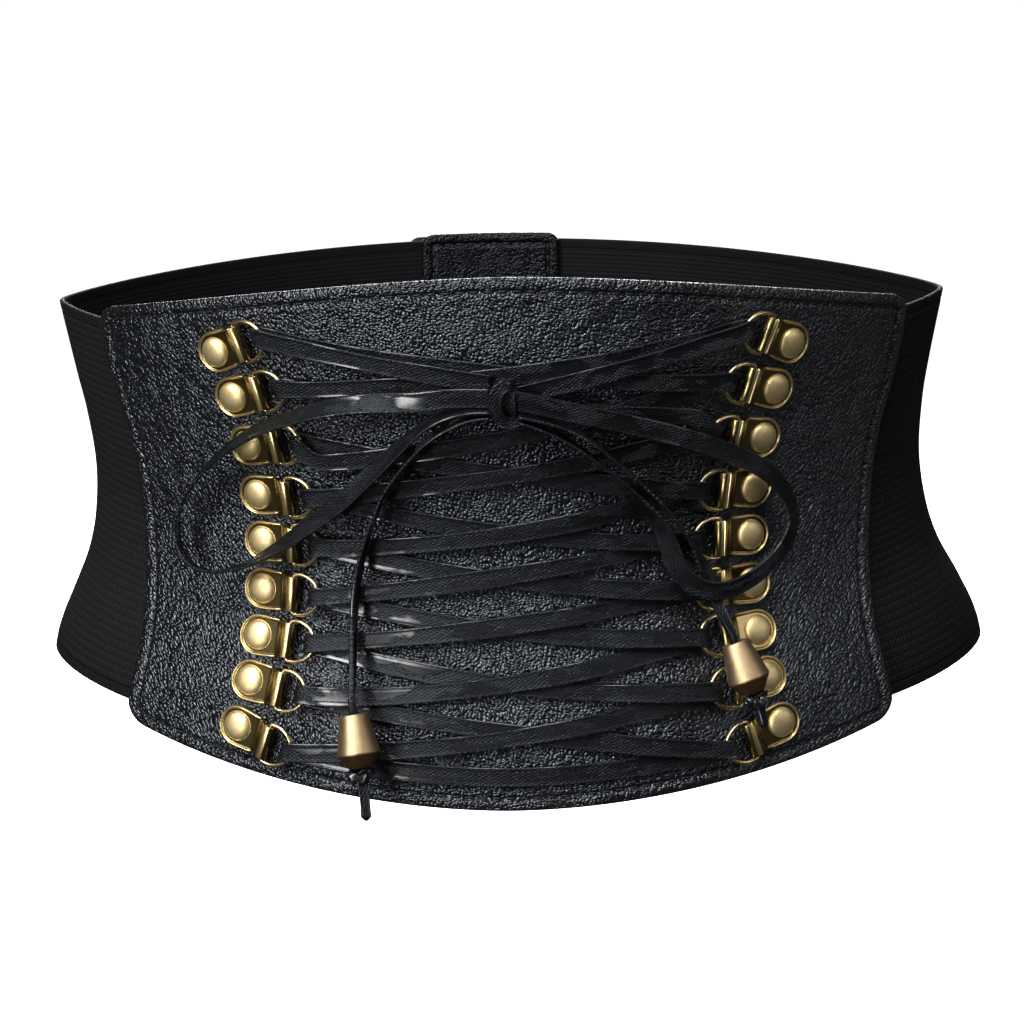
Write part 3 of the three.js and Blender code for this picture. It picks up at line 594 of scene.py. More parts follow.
def lacing_stations():
    """The held lace: from the knot to the first ring, down through all rings, back up and to the knot."""
    def to_knot(turn, side):
        height = KNOT_CENTRE + (TIE_HIGH if side < 0 else TIE_LOW)
        return strand(under_point(turn), (side * (KNOT_WIDTH / 2 + CLEARANCE), height), TIE_LEVELS)

    def crossing(start, end, side, sag):
        return strand(under_point(start), under_point(end), STRAND_OVER if side < 0 else STRAND_UNDER, sag)

    side, turn = -1, lace_turn(-1, 0)[::-1]
    path = to_knot(turn[0], side)[::-1] + turn
    for row in range(1, CLIP_ROWS):
        side = -side
        following = lace_turn(side, row)[::-1]
        path += crossing(following[0], turn[-1], side, SAGS_DOWN[row - 1])[::-1] + following
        turn = following
    last = lace_turn(-side, CLIP_ROWS - 1)
    path += strand(under_point(turn[-1]), under_point(last[0]), FOOT_LEVELS, (LACE_SAG, 1), 0) + last
    side, turn = -side, last
    for row in range(CLIP_ROWS - 2, -1, -1):
        following = lace_turn(-side, row)
        path += crossing(turn[-1], following[0], side, SAGS_UP[CLIP_ROWS - 2 - row]) + following
        side, turn = -side, following
    return path + to_knot(turn[-1], side)


def turned_stations(places, rows):
    """Stations of a lace through places with their outward directions. The rows give how far it stands on
    its edge in degrees, its width and its thickness."""
    stations = []
    for i, ((point, out), (stand, width, thickness)) in enumerate(zip(places, rows)):
        ahead = unit(places[min(i + 1, len(places) - 1)][0] - places[max(i - 1, 0)][0])
        aside = unit(np.cross(out, ahead))
        turn = math.radians(stand)
        stations.append([*point, *(aside * math.cos(turn) + out * math.sin(turn)), width, thickness])
    return stations


def route_stations(route):
    places = [on_panel(*row[:3])[:2] for row in route]
    usual = (LACE_WIDTH, LACE_THICKNESS)
    return turned_stations(places, [(*row[3:], *usual[len(row) - 4:]) for row in route])


def free_lace(name, route, node):
    points, faces, uvs, centre = braid_shape(route_stations(route))
    piece = dress(add_object(name, points, faces, uvs), [LACE], [node])


def revolved(profile, sides):
    """Points, faces and uvs of a profile of (radius, height) turned round Z."""
    turn = around(sides)
    profile = np.asarray(profile, float)
    ring = np.stack([profile[:, :1] * np.cos(turn), profile[:, :1] * np.sin(turn),
                     np.repeat(profile[:, 1:], sides, 1)], -1)
    faces, corners = grid_faces(len(profile), sides, close=True)
    run = run_along(profile)
    uvs = np.stack([corners[..., 1] / sides, run[corners[..., 0]]], -1).reshape(-1, 2)
    return ring.reshape(-1, 3), faces.tolist(), uvs.tolist()


def round_profile(points):
    """A profile through points with small rounded corners, as a smooth line would turn them."""
    points = np.asarray(points, float)
    line = [points[:1]]
    t = np.linspace(0, 1, 5)[:, None]
    for a, b, c in zip(points, points[1:], points[2:]):
        cut = min(0.35, 0.4 * np.linalg.norm(b - a), 0.4 * np.linalg.norm(c - b))
        line.append(bent(t, b + unit(a - b) * cut, b, b + unit(c - b) * cut))
    return np.concatenate(line + [points[-1:]])


def clip_plate():
    """The flat sheet: round at its outer end, with a raised rim that fades out, rising into the eye."""
    half, end = PLATE_HEIGHT / 2, EYE_REACH - 0.8
    x = np.linspace(end, 0, 24)
    reach = half + (EYE_LENGTH / 2 - half) * (x / EYE_REACH) ** 1.6
    bend = np.radians(np.linspace(90, 270, 41)[1:-1])
    edge = np.concatenate([np.stack([x, reach], -1), half * np.stack([np.cos(bend), np.sin(bend)], -1),
                           np.stack([x, -reach], -1)[::-1]])
    core = edge * [1, 0]
    core[len(x):-len(x)] = 0
    room = np.linalg.norm(edge - core, axis=1)
    inward = (core - edge) / room[:, None]
    steps = np.array([0, 0.06, 0.13, 0.21, 0.3, 0.4, 0.5, 0.6, 0.7, 0.82, 0.95, 1.2, 1.8, 2.8, 4, 9])
    rows = np.concatenate([steps[::-3], steps])
    under = np.arange(len(rows)) < len(rows) - len(steps)
    distance = np.minimum(rows[:, None], room[None])
    flat_place = edge[None] + inward[None] * distance[..., None]
    xx = flat_place[..., 0]
    rim = np.interp(distance, steps[:11], [0.3, 0.6, 0.8, 0.94, 1.02, 1.05, 1.03, 0.96, 0.8, 0.6, 0.5])
    fade = np.clip((xx - 5.0) / 2.6, 0, 1)
    flat = np.interp(distance, steps[:4], [0.28, 0.42, 0.48, 0.5])
    rise = np.clip((xx - 6.4) / 4.0, 0, 1)
    rise = 2.5 * rise**2 * (3 - 2 * rise)
    upper = rim + (flat - rim) * fade**2 * (3 - 2 * fade) + rise
    z = PLATE_LIFT + np.where(under[:, None], 0.02 + rise * 0.8, upper)
    z[:, [0, -1]] = z[-1:, [0, -1]]
    points = np.concatenate([flat_place, z[..., None]], -1).reshape(-1, 3)
    faces, _ = grid_faces(*z.shape)
    return welded(points, faces[:, ::-1])


def welded(points, faces):
    """Points that lie together become one, and faces lose the corners that fell together."""
    _, first, same = np.unique(np.round(points, 4), axis=0, return_index=True, return_inverse=True)
    same = same.reshape(-1)
    kept = []
    for face in faces:
        corners = list(dict.fromkeys(int(same[k]) for k in face))
        if len(corners) > 2:
            kept.append(corners)
    return points[first], kept, [[0, 0]] * sum(len(face) for face in kept)


def clip_shape():
    """The plate, the rolled eye and the domed rivet, in the clip's own frame."""
    low = PLATE_LIFT
    top = low + PLATE_WALL + RIVET_RISE
    dome = [(RIVET_RADIUS * share, low + rise) for share, rise in RIVET_DOME]
    dome = [(0, low + 0.3), (RIVET_RADIUS - 0.1, low + 0.3), *dome]
    dome += [(RIVET_RADIUS * 0.26, top - 0.05), (0.001, top)]
    return join_shapes([clip_plate(), revolved(dome, 40), rolled_eye()])


def rolled_eye():
    """The sheet rolled round the ring's bar: a tube with the seam of its end showing as a groove."""
    seam_turn = 98
    near_seam = seam_turn + np.array([-20, -15, -11.5, -9, -7, -5, -3, 0, 3, 5, 7, 9, 11.5, 15, 20])
    turn = np.radians(np.sort([*np.linspace(-172, 70, 28), *near_seam, *np.linspace(122, 180, 7)]))
    off = (np.degrees(turn) - seam_turn) / 8.5
    outside = EYE_RADIUS - 0.55 * np.exp(-off**4)
    bore = np.full(len(turn), EYE_BORE)
    half = EYE_LENGTH / 2
    grid = []
    for y, radius in [(-half, outside - 0.16), (-half + 0.04, outside - 0.06), (-half + 0.16, outside),
                      (half - 0.16, outside), (half - 0.04, outside - 0.06), (half, outside - 0.16),
                      (half, bore), (-half, bore)]:
        grid.append(np.stack([EYE_REACH + radius * np.cos(turn), np.full(len(turn), y),
                              EYE_LIFT + radius * np.sin(turn)], -1))
    return closed_grid(np.stack(grid + grid[:1]))


def closed_grid(grid):
    """A shape from rings of points, which are joined one after the other."""
    faces, _ = grid_faces(*grid.shape[:2], close=True)
    return grid.reshape(-1, 3), faces.tolist(), [[0, 0]] * (4 * len(faces))


def ring_shape():
    """The bent wire of a D-ring: its bar is straight and the rest a smooth curve."""
    upper = np.array(RING_LINE) * [RING_DEPTH, RING_HEIGHT / 2]
    line = np.concatenate([upper, [[RING_DEPTH, 0]], upper[:0:-1] * [1, -1]])
    t = np.linspace(0, 1, 8, endpoint=False)[:, None]
    fine = []
    for i in range(len(line)):
        p0, p1, p2, p3 = np.roll(line, 1 - i, axis=0)[:4]
        straight = i in (0, len(line) - 1)
        leaving, arriving = (p2 - p1, p2 - p1) if straight else ((p2 - p0) / 2, (p3 - p1) / 2)
        fine.append(hermite(t, p1, p2, leaving, arriving))
    fine = np.concatenate(fine)
    ahead = unit(np.roll(fine, -1, axis=0) - np.roll(fine, 1, axis=0))
    aside = np.stack([-ahead[:, 1], ahead[:, 0]], -1)
    turn = around(12)
    points = np.zeros((len(fine), 12, 3))
    points[..., :2] = fine[:, None] + aside[:, None] * (WIRE_RADIUS * np.cos(turn))[None, :, None]
    points[..., 2] = WIRE_RADIUS * np.sin(turn)[None]
    points += [EYE_REACH, 0, EYE_LIFT]
    return closed_grid(np.concatenate([points, points[:1]]))


def bell_frame(place, tilt):
    point, out, up = on_panel(*place)
    aside = unit(np.cross(up, out))
    turn = math.radians(tilt)
    axis = up * math.cos(turn) - aside * math.sin(turn)
    right = unit(np.cross(axis, out))
    return placed(point, right, -out, axis)


def bell_shape():
    outline = round_profile([
        (BELL_BORE, -0.6), (BELL_BORE + 0.15, 0), (BELL_TOP, 0), (BELL_WIDE, -BELL_SHOULDER),
        (BELL_WIDE - 0.1, -BELL_SHOULDER - 0.5), (BELL_FOOT + 1.0, -BELL_HEIGHT + 1.3),
        (BELL_FOOT, -BELL_HEIGHT), (BELL_MOUTH, -BELL_HEIGHT),
        (BELL_BORE, -BELL_SHOULDER), (BELL_BORE, -0.6),
    ])
    return revolved(outline[::-1], 64)


def lace_knot(drop):
    """Stations of an overhand knot of the lace, pulled tight, on the axis of the bell."""
    stations = []
    for turn in np.linspace(0, 2 * math.pi, 48):
        point = [0.95 * (math.sin(turn) + 2 * math.sin(2 * turn)), 1.3 * math.sin(3 * turn),
                 drop + 0.6 * (math.cos(turn) - 2 * math.cos(2 * turn))]
        across = [0.5 * math.cos(2 * turn), 1, 0.6 * math.sin(turn)]
        stations.append([*point, *across, 2.7, 2.3])
    return stations


def end_knot_shape(stub, bend):
    drop = -BELL_HEIGHT - 2.0
    tail = []
    for share in np.linspace(0, 1, 12):
        z = drop - 0.6 - share * (stub + 1.0)
        end = math.sqrt(max(1 - max(share - 0.9, 0) ** 2 / 0.0105, 0.03))
        tail.append([bend * share**1.7, 0.25 * math.sin(3 * share), z, 1, 0.25 + 0.3 * share, 0,
                     2.9 * end, 2.2 * end])
    return join_shapes([braid_shape(lace_knot(drop), 0.7)[:3], braid_shape(tail, 0.4)[:3]])


def bow_knot_shape():
    """The core of the bow's knot and the wrap that curls down its left side and under it."""
    point, out, up = on_panel(0, KNOT_CENTRE, LACE_HIGH + LACE_THICKNESS + 3.2)
    right = unit(np.cross(up, out))

    def at(x, y, z):
        return point + right * x + out * y + up * z

    def core(rise, depth, shift, width, start):
        """A turn of lace round the straps."""
        stations = []
        for share in np.linspace(0, 1, 26):
            turn = math.radians(start) + 2 * math.pi * share
            place = at(shift - 0.4 * (share - 0.5), depth * math.cos(turn), rise * math.sin(turn))
            across = unit(right + up * (0.12 * math.sin(2 * turn)) - out * 0.12 * math.sin(turn))
            stations.append([*place, *across, width, 1.5])
        return braid_shape(stations, 0.8)[:3]

    curl = turned_stations([(at(*row[:3]), out) for row in KNOT_CURL], [row[3:] for row in KNOT_CURL])
    cores = [core(4.6, 1.9, 0.6, 5.2, -170), core(3.6, 1.2, 1.4, 4.4, -180)]
    return join_shapes([*cores, braid_shape(curl, 0.6)[:3]])


# Materials
def arithmetic(operation, swapped=False):
    """A method that adds a math node."""
    def result(self, *others):
        values = (self, *others)[::-1] if swapped else (self, *others)
        return self.look.node("ShaderNodeMath", {"operation": operation}, dict(enumerate(values)))
    return result


class Sum:
    """A socket in a material's node tree, with the usual arithmetic."""

    def __init__(self, look, socket):
        self.look = look
        self.socket = socket

    __add__ = __radd__ = arithmetic("ADD")
    __mul__ = __rmul__ = arithmetic("MULTIPLY")
    __sub__ = arithmetic("SUBTRACT")
    __rsub__ = arithmetic("SUBTRACT", swapped=True)
    __truediv__ = arithmetic("DIVIDE")
    __abs__ = arithmetic("ABSOLUTE")
    sine = arithmetic("SINE")
    part = arithmetic("FRACT")
    larger = arithmetic("MAXIMUM")

    def ripples(self, pitch):
        """Rounded ribs from 0 to 1, one in each pitch."""
        return abs((self * (math.pi / pitch)).sine())

    def between(self, low, high, first=0.0, last=1.0):
        ends = {"From Min": low, "From Max": high, "To Min": first, "To Max": last}
        kind = {"interpolation_type": "SMOOTHSTEP"}
        return self.look.node("ShaderNodeMapRange", kind, {"Value": self, **ends})


class Look:
    """A material with a Principled shader."""

    def __init__(self, name, **constants):
        self.material = bpy.data.materials.new(name)
        self.material.use_nodes = True
        self.tree = self.material.node_tree
        self.shader = self.tree.nodes["Principled BSDF"]
        for key, value in constants.items():
            self.shader.inputs[key.replace("_", " ")].default_value = value

    def node(self, kind, settings, inputs, output=0):
        node = self.tree.nodes.new(kind)
        for key, value in settings.items():
            setattr(node, key, value)
        for key, value in inputs.items():
            if isinstance(value, Sum):
                self.tree.links.new(value.socket, node.inputs[key])
            else:
                node.inputs[key].default_value = value
        return Sum(self, node.outputs[output])

    def uv(self):
        return self.node("ShaderNodeUVMap", {"uv_map": "UVMap"}, {})

    def place(self):
        """Object coordinates in millimetres."""
        spot = self.node("ShaderNodeTexCoord", {}, {}, "Object")
        return self.node("ShaderNodeVectorMath", {"operation": "SCALE"}, {0: spot, "Scale": 1000.0})

    def parts(self, vector):
        split = self.tree.nodes.new("ShaderNodeSeparateXYZ")
        self.tree.links.new(vector.socket, split.inputs[0])
        return [Sum(self, split.outputs[k]) for k in range(3)]

    def joined(self, x, y, z=0.0):
        return self.node("ShaderNodeCombineXYZ", {}, {0: x, 1: y, 2: z})

    def noise(self, vector, scale, detail=3.0, roughness=0.55):
        inputs = {"Vector": vector, "Scale": scale, "Detail": detail, "Roughness": roughness}
        return self.node("ShaderNodeTexNoise", {}, inputs)

    def cells(self, vector, scale, randomness):
        inputs = {"Vector": vector, "Scale": scale, "Randomness": randomness}
        return self.node("ShaderNodeTexVoronoi", {}, inputs)

    def colours(self, share, first, last):
        first, last = [end if isinstance(end, Sum) else (*end, 1.0) for end in (first, last)]
        return self.node("ShaderNodeMix", {"data_type": "RGBA"}, {0: share, 6: first, 7: last}, 2)

    def set(self, **values):
        for key, value in values.items():
            self.tree.links.new(value.socket, self.shader.inputs[key.replace("_", " ")])

    def finish(self, colour, roughness, height, distance):
        """Colour, roughness, and a bump whose height of 0 to 1 stands for a distance in millimetres."""
        bump = self.node("ShaderNodeBump", {}, {"Strength": 1.0, "Distance": distance * MM, "Height": height})
        self.set(Base_Color=colour, Roughness=roughness, Normal=bump)
        return self.material


def pebble_rows(look, u, v, slant):
    """Small domes in rows that slant by an angle, a little longer along the row."""
    turn = math.radians(slant)
    along = u * math.cos(turn) + v * math.sin(turn)
    climb = v * math.cos(turn) - u * math.sin(turn)
    away = look.cells(look.joined(along * 0.80, climb * 1.15), 1.02, 0.72)
    return 1.0 - away * away * 1.9


def pebbled_leather(name, shine, depth):
    """Grained leather: small raised pebbles in rows, level in the middle and steep towards the two sides,
    with painted shade in the valleys between the pebbles and a painted highlight on their tops.
    """
    look = Look(name, Specular_IOR_Level=shine, Specular_Tint=(0.84, 0.90, 1.0, 1.0))
    u, v, _ = look.parts(look.uv())
    spot = look.joined(u, v)
    patch = look.noise(spot, 0.05)
    worn = look.noise(spot, 0.30)
    warp = (look.noise(spot, 0.07, 2.0) - 0.5) * 8.0
    across, up = u + (worn - 0.5) * 1.5, v + warp + (worn - 0.5) * 1.5
    far = abs(u) + (patch - 0.5) * 30.0
    middle = pebble_rows(look, across * 1.12, up * 1.12, -14)
    left = pebble_rows(look, across, up, -52)
    right = pebble_rows(look, across, up, 48)
    to_left = far.between(46.0, 60.0) * (0.0 - u).between(0.0, 1.0)
    to_right = far.between(52.0, 66.0) * u.between(0.0, 1.0)
    pebbles = middle * (1.0 - to_left - to_right) + left * to_left + right * to_right
    fine = look.noise(spot, 1.6, 2.0)
    height = pebbles * (0.64 + 0.42 * worn) + fine * 0.12 + worn * 0.3
    # Painted shade and highlight: the colour is darker in the valleys between the pebbles and lighter on
    # their tops.
    painted_light_and_tone = pebbles.between(0.35, 0.95)
    colour = look.colours(painted_light_and_tone, (0.0006, 0.0007, 0.0009), (0.0042, 0.0045, 0.0056))
    return look.finish(colour, 0.22 + 0.08 * patch + 0.08 * worn + 0.14 * to_right, height, depth)


def leather_back():
    look = Look("leather_back", Specular_IOR_Level=0.25)
    spot = look.place()
    nap = look.noise(spot, 1.6, 5.0, 0.7)
    cloud = look.noise(spot, 0.08, 2.0)
    colour = look.colours(nap * 0.6 + cloud * 0.4, (0.008, 0.008, 0.009), (0.022, 0.022, 0.024))
    return look.finish(colour, nap.between(0.2, 0.8, 0.82, 0.95), nap, 0.25)


def ribbed_elastic(name, across):
    """Elastic webbing: ribs up its height on the outside, along its length on the inside."""
    # Painted shade: the inside gets less shine than the outside, which stands in for the shade that falls
    # inside the belt.
    look = Look(name, Specular_IOR_Level=0.08 if across else 0.16)
    u, v, _ = look.parts(look.uv())
    along, climb = (v, u) if across else (u, v)
    pitch = 1.45 if across else 1.2
    edge = abs(v) - (BAND_HEIGHT / 2 - BAND_SELVEDGE)
    selvedge = edge.between(-0.15, 0.15)
    step = abs((climb / 2.4).part() - 0.5) * 2.0
    field = (along + step * 0.42).ripples(pitch) * (0.75 + 0.25 * climb.ripples(1.2))
    plain = v.ripples(0.8) * 0.5 + u.ripples(0.9) * 0.25
    line = 1.0 - abs(edge).between(0.0, 0.5)
    height = field * (1.0 - selvedge) + plain * selvedge - line * 0.6
    fuzz = look.noise(look.joined(u, v), 1.8)
    # Painted shade: the colour is darker in the grooves between the ribs and in the line by the selvedge, and
    # lighter on the ribs. The fuzz varies the tone at random.
    painted_light_and_tone = (height * 0.75 + fuzz * 0.3).between(0.1, 1.0)
    colour = look.colours(painted_light_and_tone, (0.0012, 0.0012, 0.0014), (0.0062, 0.0062, 0.0070))
    return look.finish(colour, fuzz.between(0.2, 0.8, 0.6, 0.8), height, 0.08 if across else 0.5)


def waxed_braid():
    """Flat braid of small lozenges: dull for most of its run, with waxed places that shine through a coat and
    a painted sheen, and a painted highlight along its edge bead.
    """
    look = Look("waxed_braid", Specular_IOR_Level=0.28, Specular_Tint=(0.82, 0.89, 1.0, 1.0),
                Coat_Roughness=0.18)
    u, v, _ = look.parts(look.uv())
    spot = look.joined(u, v)
    drift = (look.noise(spot, 0.5, 2.0) - 0.5) * 0.7
    slope, pitch = 0.55, 0.98
    crossing = (u * slope + v + drift).ripples(pitch) * (u * slope - v + drift).ripples(pitch)
    weave = crossing.between(0.0, 0.85)
    fuzz = look.noise(spot, 1.6)
    wax_and_painted_sheen = look.noise(look.joined(u * 0.22, v * 0.5), 0.32).between(0.47, 0.60)
    rim = abs(v).between(LACE_WIDTH * 0.38, LACE_WIDTH * 0.47)
    dash = (u + drift).ripples(1.3) * look.noise(spot, 0.35).between(0.40, 0.62)
    # Painted shade and highlight: the colour is darker between the lozenges, paler on them where the lace is
    # waxed, and paler along the edge bead. The fuzz varies the tone at random.
    painted_light_and_tone = (weave * (0.25 + 0.6 * wax_and_painted_sheen) + fuzz * 0.35 + rim * 0.3).between(0.15, 1.0)
    look.set(Coat_Weight=(wax_and_painted_sheen + rim * 0.6 * dash).between(0.0, 1.0))
    height = weave * (0.14 + 1.5 * wax_and_painted_sheen * fuzz + 0.4 * wax_and_painted_sheen) + fuzz * 0.45 + dash * rim * 0.3
    colour = look.colours(painted_light_and_tone, (0.0007, 0.0008, 0.0010), (0.0046, 0.0049, 0.0060))
    return look.finish(colour, fuzz.between(0.2, 0.8, 0.36, 0.52), height, 0.46)


def old_brass():
    """Antique brass of a clip: dark olive sheet, satin on the dome, with painted highlights as pale colour on
    the rim and on the seam's lips, and painted shade on the eye's far side.
    """
    look = Look("old_brass", Metallic=1.0)
    spot = look.place()
    x, y, _ = look.parts(spot)
    grime = look.noise(spot, 0.45, 3.0, 0.6)
    specks = look.noise(spot, 1.9, 3.0, 0.7)
    behind = (0.0 - x).larger(0.0)
    half = PLATE_HEIGHT / 2
    outer = (behind * behind + y * y).between((half - 1.0) ** 2, (half - 0.75) ** 2)
    rim = outer * (1.0 - x.between(5.2, 7.4))
    dome = 1.0 - (x * x + y * y).between(RIVET_RADIUS**2, 1.08 * RIVET_RADIUS**2)
    lips = 1.0 - abs(x - (EYE_REACH - 0.27)).between(0.75, 1.15)
    inner = x.between(EYE_REACH + 0.6, EYE_REACH + 1.3)
    # Painted highlights: the rim and the seam's two lips are coloured pale. Painted shade: the eye's far side
    # is coloured darker. The dome is paler too, and grime and specks vary the tone at random.
    shine = rim * 0.55 + dome * (0.35 + 0.5 * specks) + lips * 0.6 + grime * 0.35 - inner * 0.2
    colour = look.colours(shine.between(0.05, 1.0), (0.20, 0.150, 0.060), (0.80, 0.635, 0.33))
    roughness = 0.24 + dome * (0.17 + 0.18 * specks) + 0.12 * rim + 0.10 * lips
    return look.finish(colour, roughness, specks * dome + grime * 0.3, 0.06)


def brass_wire():
    look = Look("brass_wire", Metallic=1.0)
    spot = look.place()
    grime = look.noise(spot, 0.8, 3.0, 0.6)
    colour = look.colours(grime.between(0.3, 0.7), (0.42, 0.32, 0.16), (0.80, 0.65, 0.38))
    return look.finish(colour, grime.between(0.3, 0.7, 0.34, 0.22), grime, 0.03)


def brushed_copper():
    """Spun bell: brushed warm gold on the cone, and painted shade as dark brown below its widest edge, where
    the bell faces down.
    """
    look = Look("brushed_copper", Metallic=1.0)
    spot = look.place()
    x, y, z = look.parts(spot)
    brush = look.noise(look.joined(x * 0.25, y * 0.25, z * 9.0), 1.0, 4.0, 0.65)
    cloud = look.noise(spot, 0.35)
    foot = z.between(-BELL_SHOULDER - 0.6, -BELL_SHOULDER - 0.1)
    body = look.colours(cloud, (0.31, 0.215, 0.115), (0.47, 0.345, 0.205))
    # Painted shade: below the widest edge, where the bell faces down, the colour turns dark brown.
    dark = look.colours(cloud, (0.15, 0.085, 0.036), (0.26, 0.150, 0.068))
    return look.finish(look.colours(foot, dark, body), 0.32 + 0.14 * brush + 0.08 * cloud, brush, 0.05)


def black_thread():
    look = Look("black_thread", Specular_IOR_Level=0.3)
    spot = look.place()
    twist = look.noise(spot, 3.0)
    colour = look.colours(twist, (0.0020, 0.0020, 0.0024), (0.0080, 0.0082, 0.0098))
    return look.finish(colour, twist.between(0.2, 0.8, 0.42, 0.6), twist, 0.10)


def pale_floor():
    look = Look("pale_floor", Specular_IOR_Level=0.0, Emission_Strength=0.95)
    cloud = look.noise(look.place(), 0.004, 2.0)
    look.set(Base_Color=look.colours(cloud, (0.93, 0.93, 0.93), (0.95, 0.95, 0.95)))
    look.set(Emission_Color=look.colours(cloud, (0.99, 0.99, 0.99), (1.0, 1.0, 1.0)))
    look.set(Roughness=cloud.between(0.0, 1.0, 0.85, 0.95))
    return look.material


photo_camera()

LEATHER = pebbled_leather("pebbled_leather", 0.8, 0.45)
# A shaded copy of the leather for the inner back tab: its lower shine and shallower grain paint the shade
# that falls inside the belt.
SHADED_LEATHER = pebbled_leather("shaded_pebbled_leather", 0.18, 0.24)
BACKING = leather_back()
ELASTIC = ribbed_elastic("ribbed_elastic", False)
ELASTIC_INSIDE = ribbed_elastic("ribbed_elastic_inside", True)
LACE = waxed_braid()
BRASS = old_brass()
WIRE = brass_wire()
COPPER = brushed_copper()
THREAD_LOOK = black_thread()

# Free lace: the bow and its tails, with the bells and knots on them
bell = bell_shape()
for word, (place, tilt), stub, bend in (("left", LEFT_END, 11.5, -0.4), ("right", RIGHT_END, 7, -1.0)):
    cone = add_object(f"bell_end_{word}", *bell, sharp=50)
    cone.matrix_world = bell_frame(place, tilt)
    dress(cone, [COPPER], [f"cord_end_{word}"])
    tie = add_object(f"tied_end_{word}", *end_knot_shape(stub, bend))
    tie.matrix_world = bell_frame(place, tilt)
    dress(tie, [LACE], [f"end_knot_{word}"])
free_lace("loop_of_bow_left", LOOP_LEFT, "bow_loop_left")
free_lace("loop_of_bow_right", LOOP_RIGHT, "bow_loop_right")
free_lace("tail_of_lace_left", TAIL_LEFT, "lace_tail_left")
free_lace("tail_of_lace_right", TAIL_RIGHT, "lace_tail_right")
dress(add_object("knot_of_bow", *bow_knot_shape()), [LACE], ["bow_knot"])

# Held lacing
dress(add_object("crossed_lacing", *braid_shape(lacing_stations())[:3]), [LACE], ["lacing"])


# Leather panel with its seam
def stitched_leather(name, node, stitches, lift, outline, corner, inner, show, counts, look, swell=None):
    piece = leather_piece(name, lift, outline, corner, inner, show, counts, swell)
    dress(piece, [look, BACKING], [node])
    line = seam_line(*outline, corner, SEAM_INSET)
    surface = inner + (LEATHER_WALL - STITCH_SINK if show > 0 else STITCH_SINK)
    dress(thread(stitches, line, lift, surface, show), [THREAD_LOOK])


def panel_lift(x, z, height):
    return skin(front_angle(x, z), z, height)


def panel_swell(x, z):
    """Soft waves that the lacing draws into the leather."""
    return 0.10 * np.sin(z / 2.3 + 0.6 * np.sin(x / 19)) * np.cos(x / 31) + 0.08 * np.sin(x / 5.1 + z / 7.3)


stitched_leather("leather_panel", "front_panel", "panel_stitches", panel_lift,
                 (panel_half_width, panel_foot, panel_top), PANEL_CORNER, CLEARANCE, 1, (140, 84), LEATHER,
                 panel_swell)


# Elastic bands
def elastic_band(word, side):
    z = edge_graded(BAND_LOW, -BAND_LOW, 44)
    share = np.linspace(0, 1, 150)
    zz = np.repeat(z[:, None], len(share), 1)
    front = front_angle(side * (panel_half_width(zz) - BAND_TUCK), zz)
    back = side * math.pi - front_angle(TAB_OFFSET + side * (CLOSURE_WIDTH / 2 + CLEARANCE), zz)
    angle = front + (back - front) * share
    distance = np.minimum(zz - BAND_LOW, -BAND_LOW - zz)
    distance = np.minimum(distance, np.minimum(share, 1 - share)[None, :] * 260)
    half_wall = BAND_WALL / 2
    groove = 0.12 * np.exp(-((distance - BAND_SELVEDGE) / 0.35) ** 2)
    bulge = half_wall * round_edge(distance, half_wall) - groove
    outer = skin(angle, zz, bulge - half_wall)[0]
    inner = skin(angle, zz, -bulge - half_wall)[0]
    run = run_along(outer[len(z) // 2])
    uv = np.stack(np.broadcast_arrays(run, zz), -1)
    piece = two_faced(f"elastic_band_{word}", outer, inner, uv, uv, [0, 1])
    dress(piece, [ELASTIC, ELASTIC_INSIDE], [f"elastic_{word}"])


elastic_band("left", -1)
elastic_band("right", 1)


# Back tabs
def level(value):
    return lambda places: np.full(np.shape(places), value)


def back_tab(name, node, centre, overhang, inner, show, look):
    def lift(x, z, height):
        return skin(math.pi - front_angle(centre + x, z), z, height)

    outline = level(TAB_WIDTH / 2), level(BAND_LOW - overhang), level(-BAND_LOW + overhang)
    stitched_leather(name, node, f"{name}_stitches", lift, outline, TAB_CORNER, inner, show, (26, 70), look)


INNER_LIFT = -BAND_WALL - CLEARANCE - BEND_ROOM / 2 - LEATHER_WALL
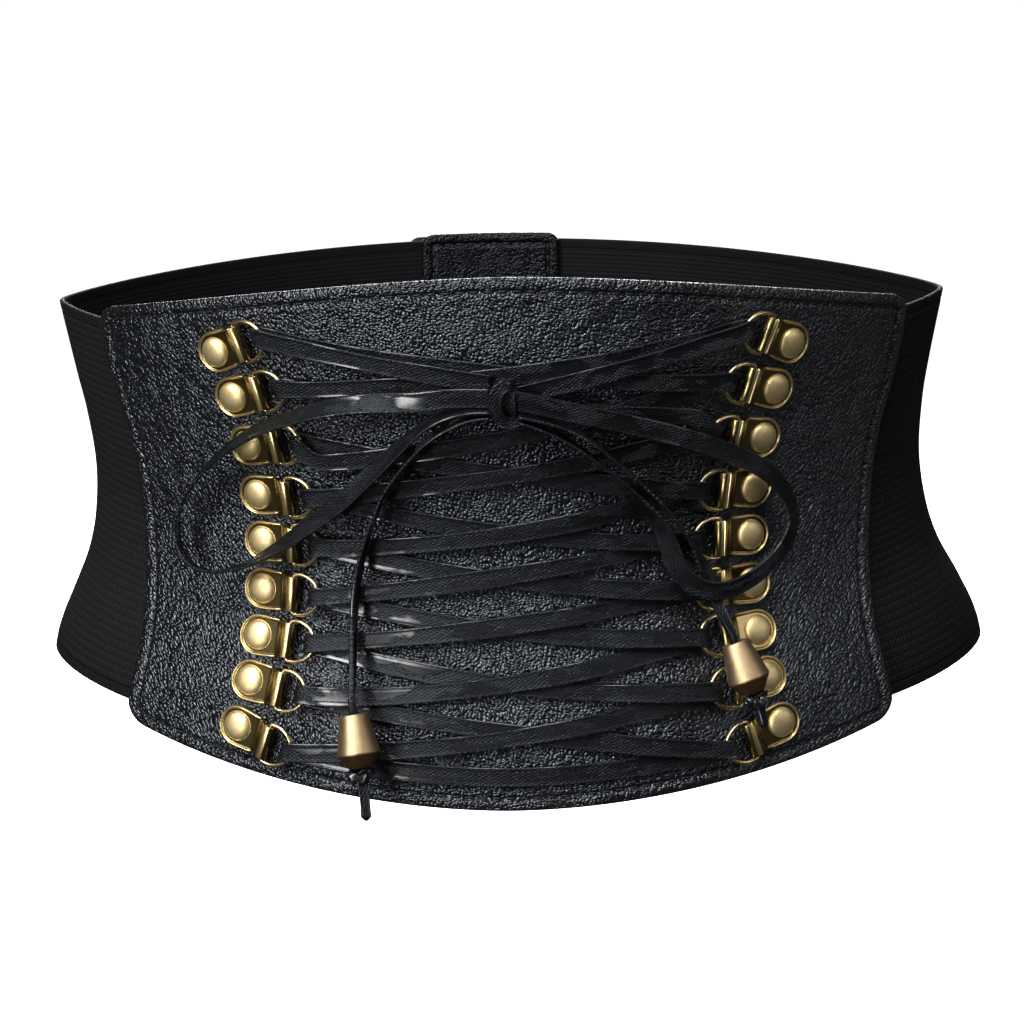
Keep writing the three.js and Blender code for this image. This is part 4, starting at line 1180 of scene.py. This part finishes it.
# The inner tab wears the shaded copy of the leather, which paints the shade inside the belt.
back_tab("back_tab_inside", "back_tab_inner", TAB_OFFSET, TAB_OVERHANG, INNER_LIFT, -1, SHADED_LEATHER)
back_tab("back_tab_outside", "back_tab_outer", TAB_OFFSET - TAB_STAGGER, TAB_OVERHANG - 1, CLEARANCE, 1,
         LEATHER)

# Clips and rings
clip, ring = clip_shape(), ring_shape()
for side, word in ((-1, "left"), (1, "right")):
    for row in range(CLIP_ROWS):
        matrix = placed(*clip_frame(side, row))
        for name, shape, node in (("brass_clip", clip, "clip"), ("brass_ring", ring, "ring")):
            piece = add_object(f"{name}_{word}_{row + 1}", *shape, sharp=42 if node == "clip" else None)
            piece.matrix_world = matrix
            dress(piece, [BRASS if node == "clip" else WIRE], [f"{node}_{word}_{row + 1}"])

# The hidden closure keeps its CAD solid
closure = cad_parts["back_closure"]
closure.data.materials.clear()
closure.data.materials.append(BRASS)


# Floor and light
def stage():
    mesh = bpy.data.meshes.new("pale_floor")
    mesh.from_pydata([(x, y, 0) for x, y in ((-6, -6), (6, -6), (6, 6), (-6, 6))], [], [(0, 1, 2, 3)])
    floor = put("pale_floor", mesh)
    floor.location.z = -FLOOR_DROP * MM
    floor.visible_glossy = False
    floor.visible_diffuse = False
    mesh.materials.append(pale_floor())
    bpy.context.scene.view_settings.view_transform = "Standard"
    world = bpy.data.worlds.new("pale_room")
    bpy.context.scene.world = world
    world.use_nodes = True
    colour, strength = world.node_tree.nodes["Background"].inputs[:2]
    colour.default_value = (1, 1, 1, 1)
    strength.default_value = ROOM_LIGHT
    for name, place, size, power in (
        ("left_softbox", (-0.72, -0.80, 0.66), 0.45, 14),
        ("low_softbox", (-0.62, -1.00, 0.06), 0.30, 5),
        ("front_softbox", (-0.10, -0.62, 1.05), 0.55, 14),
        ("right_softbox", (0.90, -0.60, 0.45), 0.40, 1.5),
        ("top_softbox", (0.0, 0.20, 1.2), 0.9, 3),
        ("back_softbox", (0.0, 1.0, 0.45), 0.7, 24),
    ):
        data = bpy.data.lights.new(name, "AREA")
        data.size = size
        data.energy = power
        light = put(name, data)
        light.location = place
        light.rotation_euler = (Vector(place) - Vector((0, -0.08, 0))).to_track_quat("Z", "Y").to_euler()


stage()
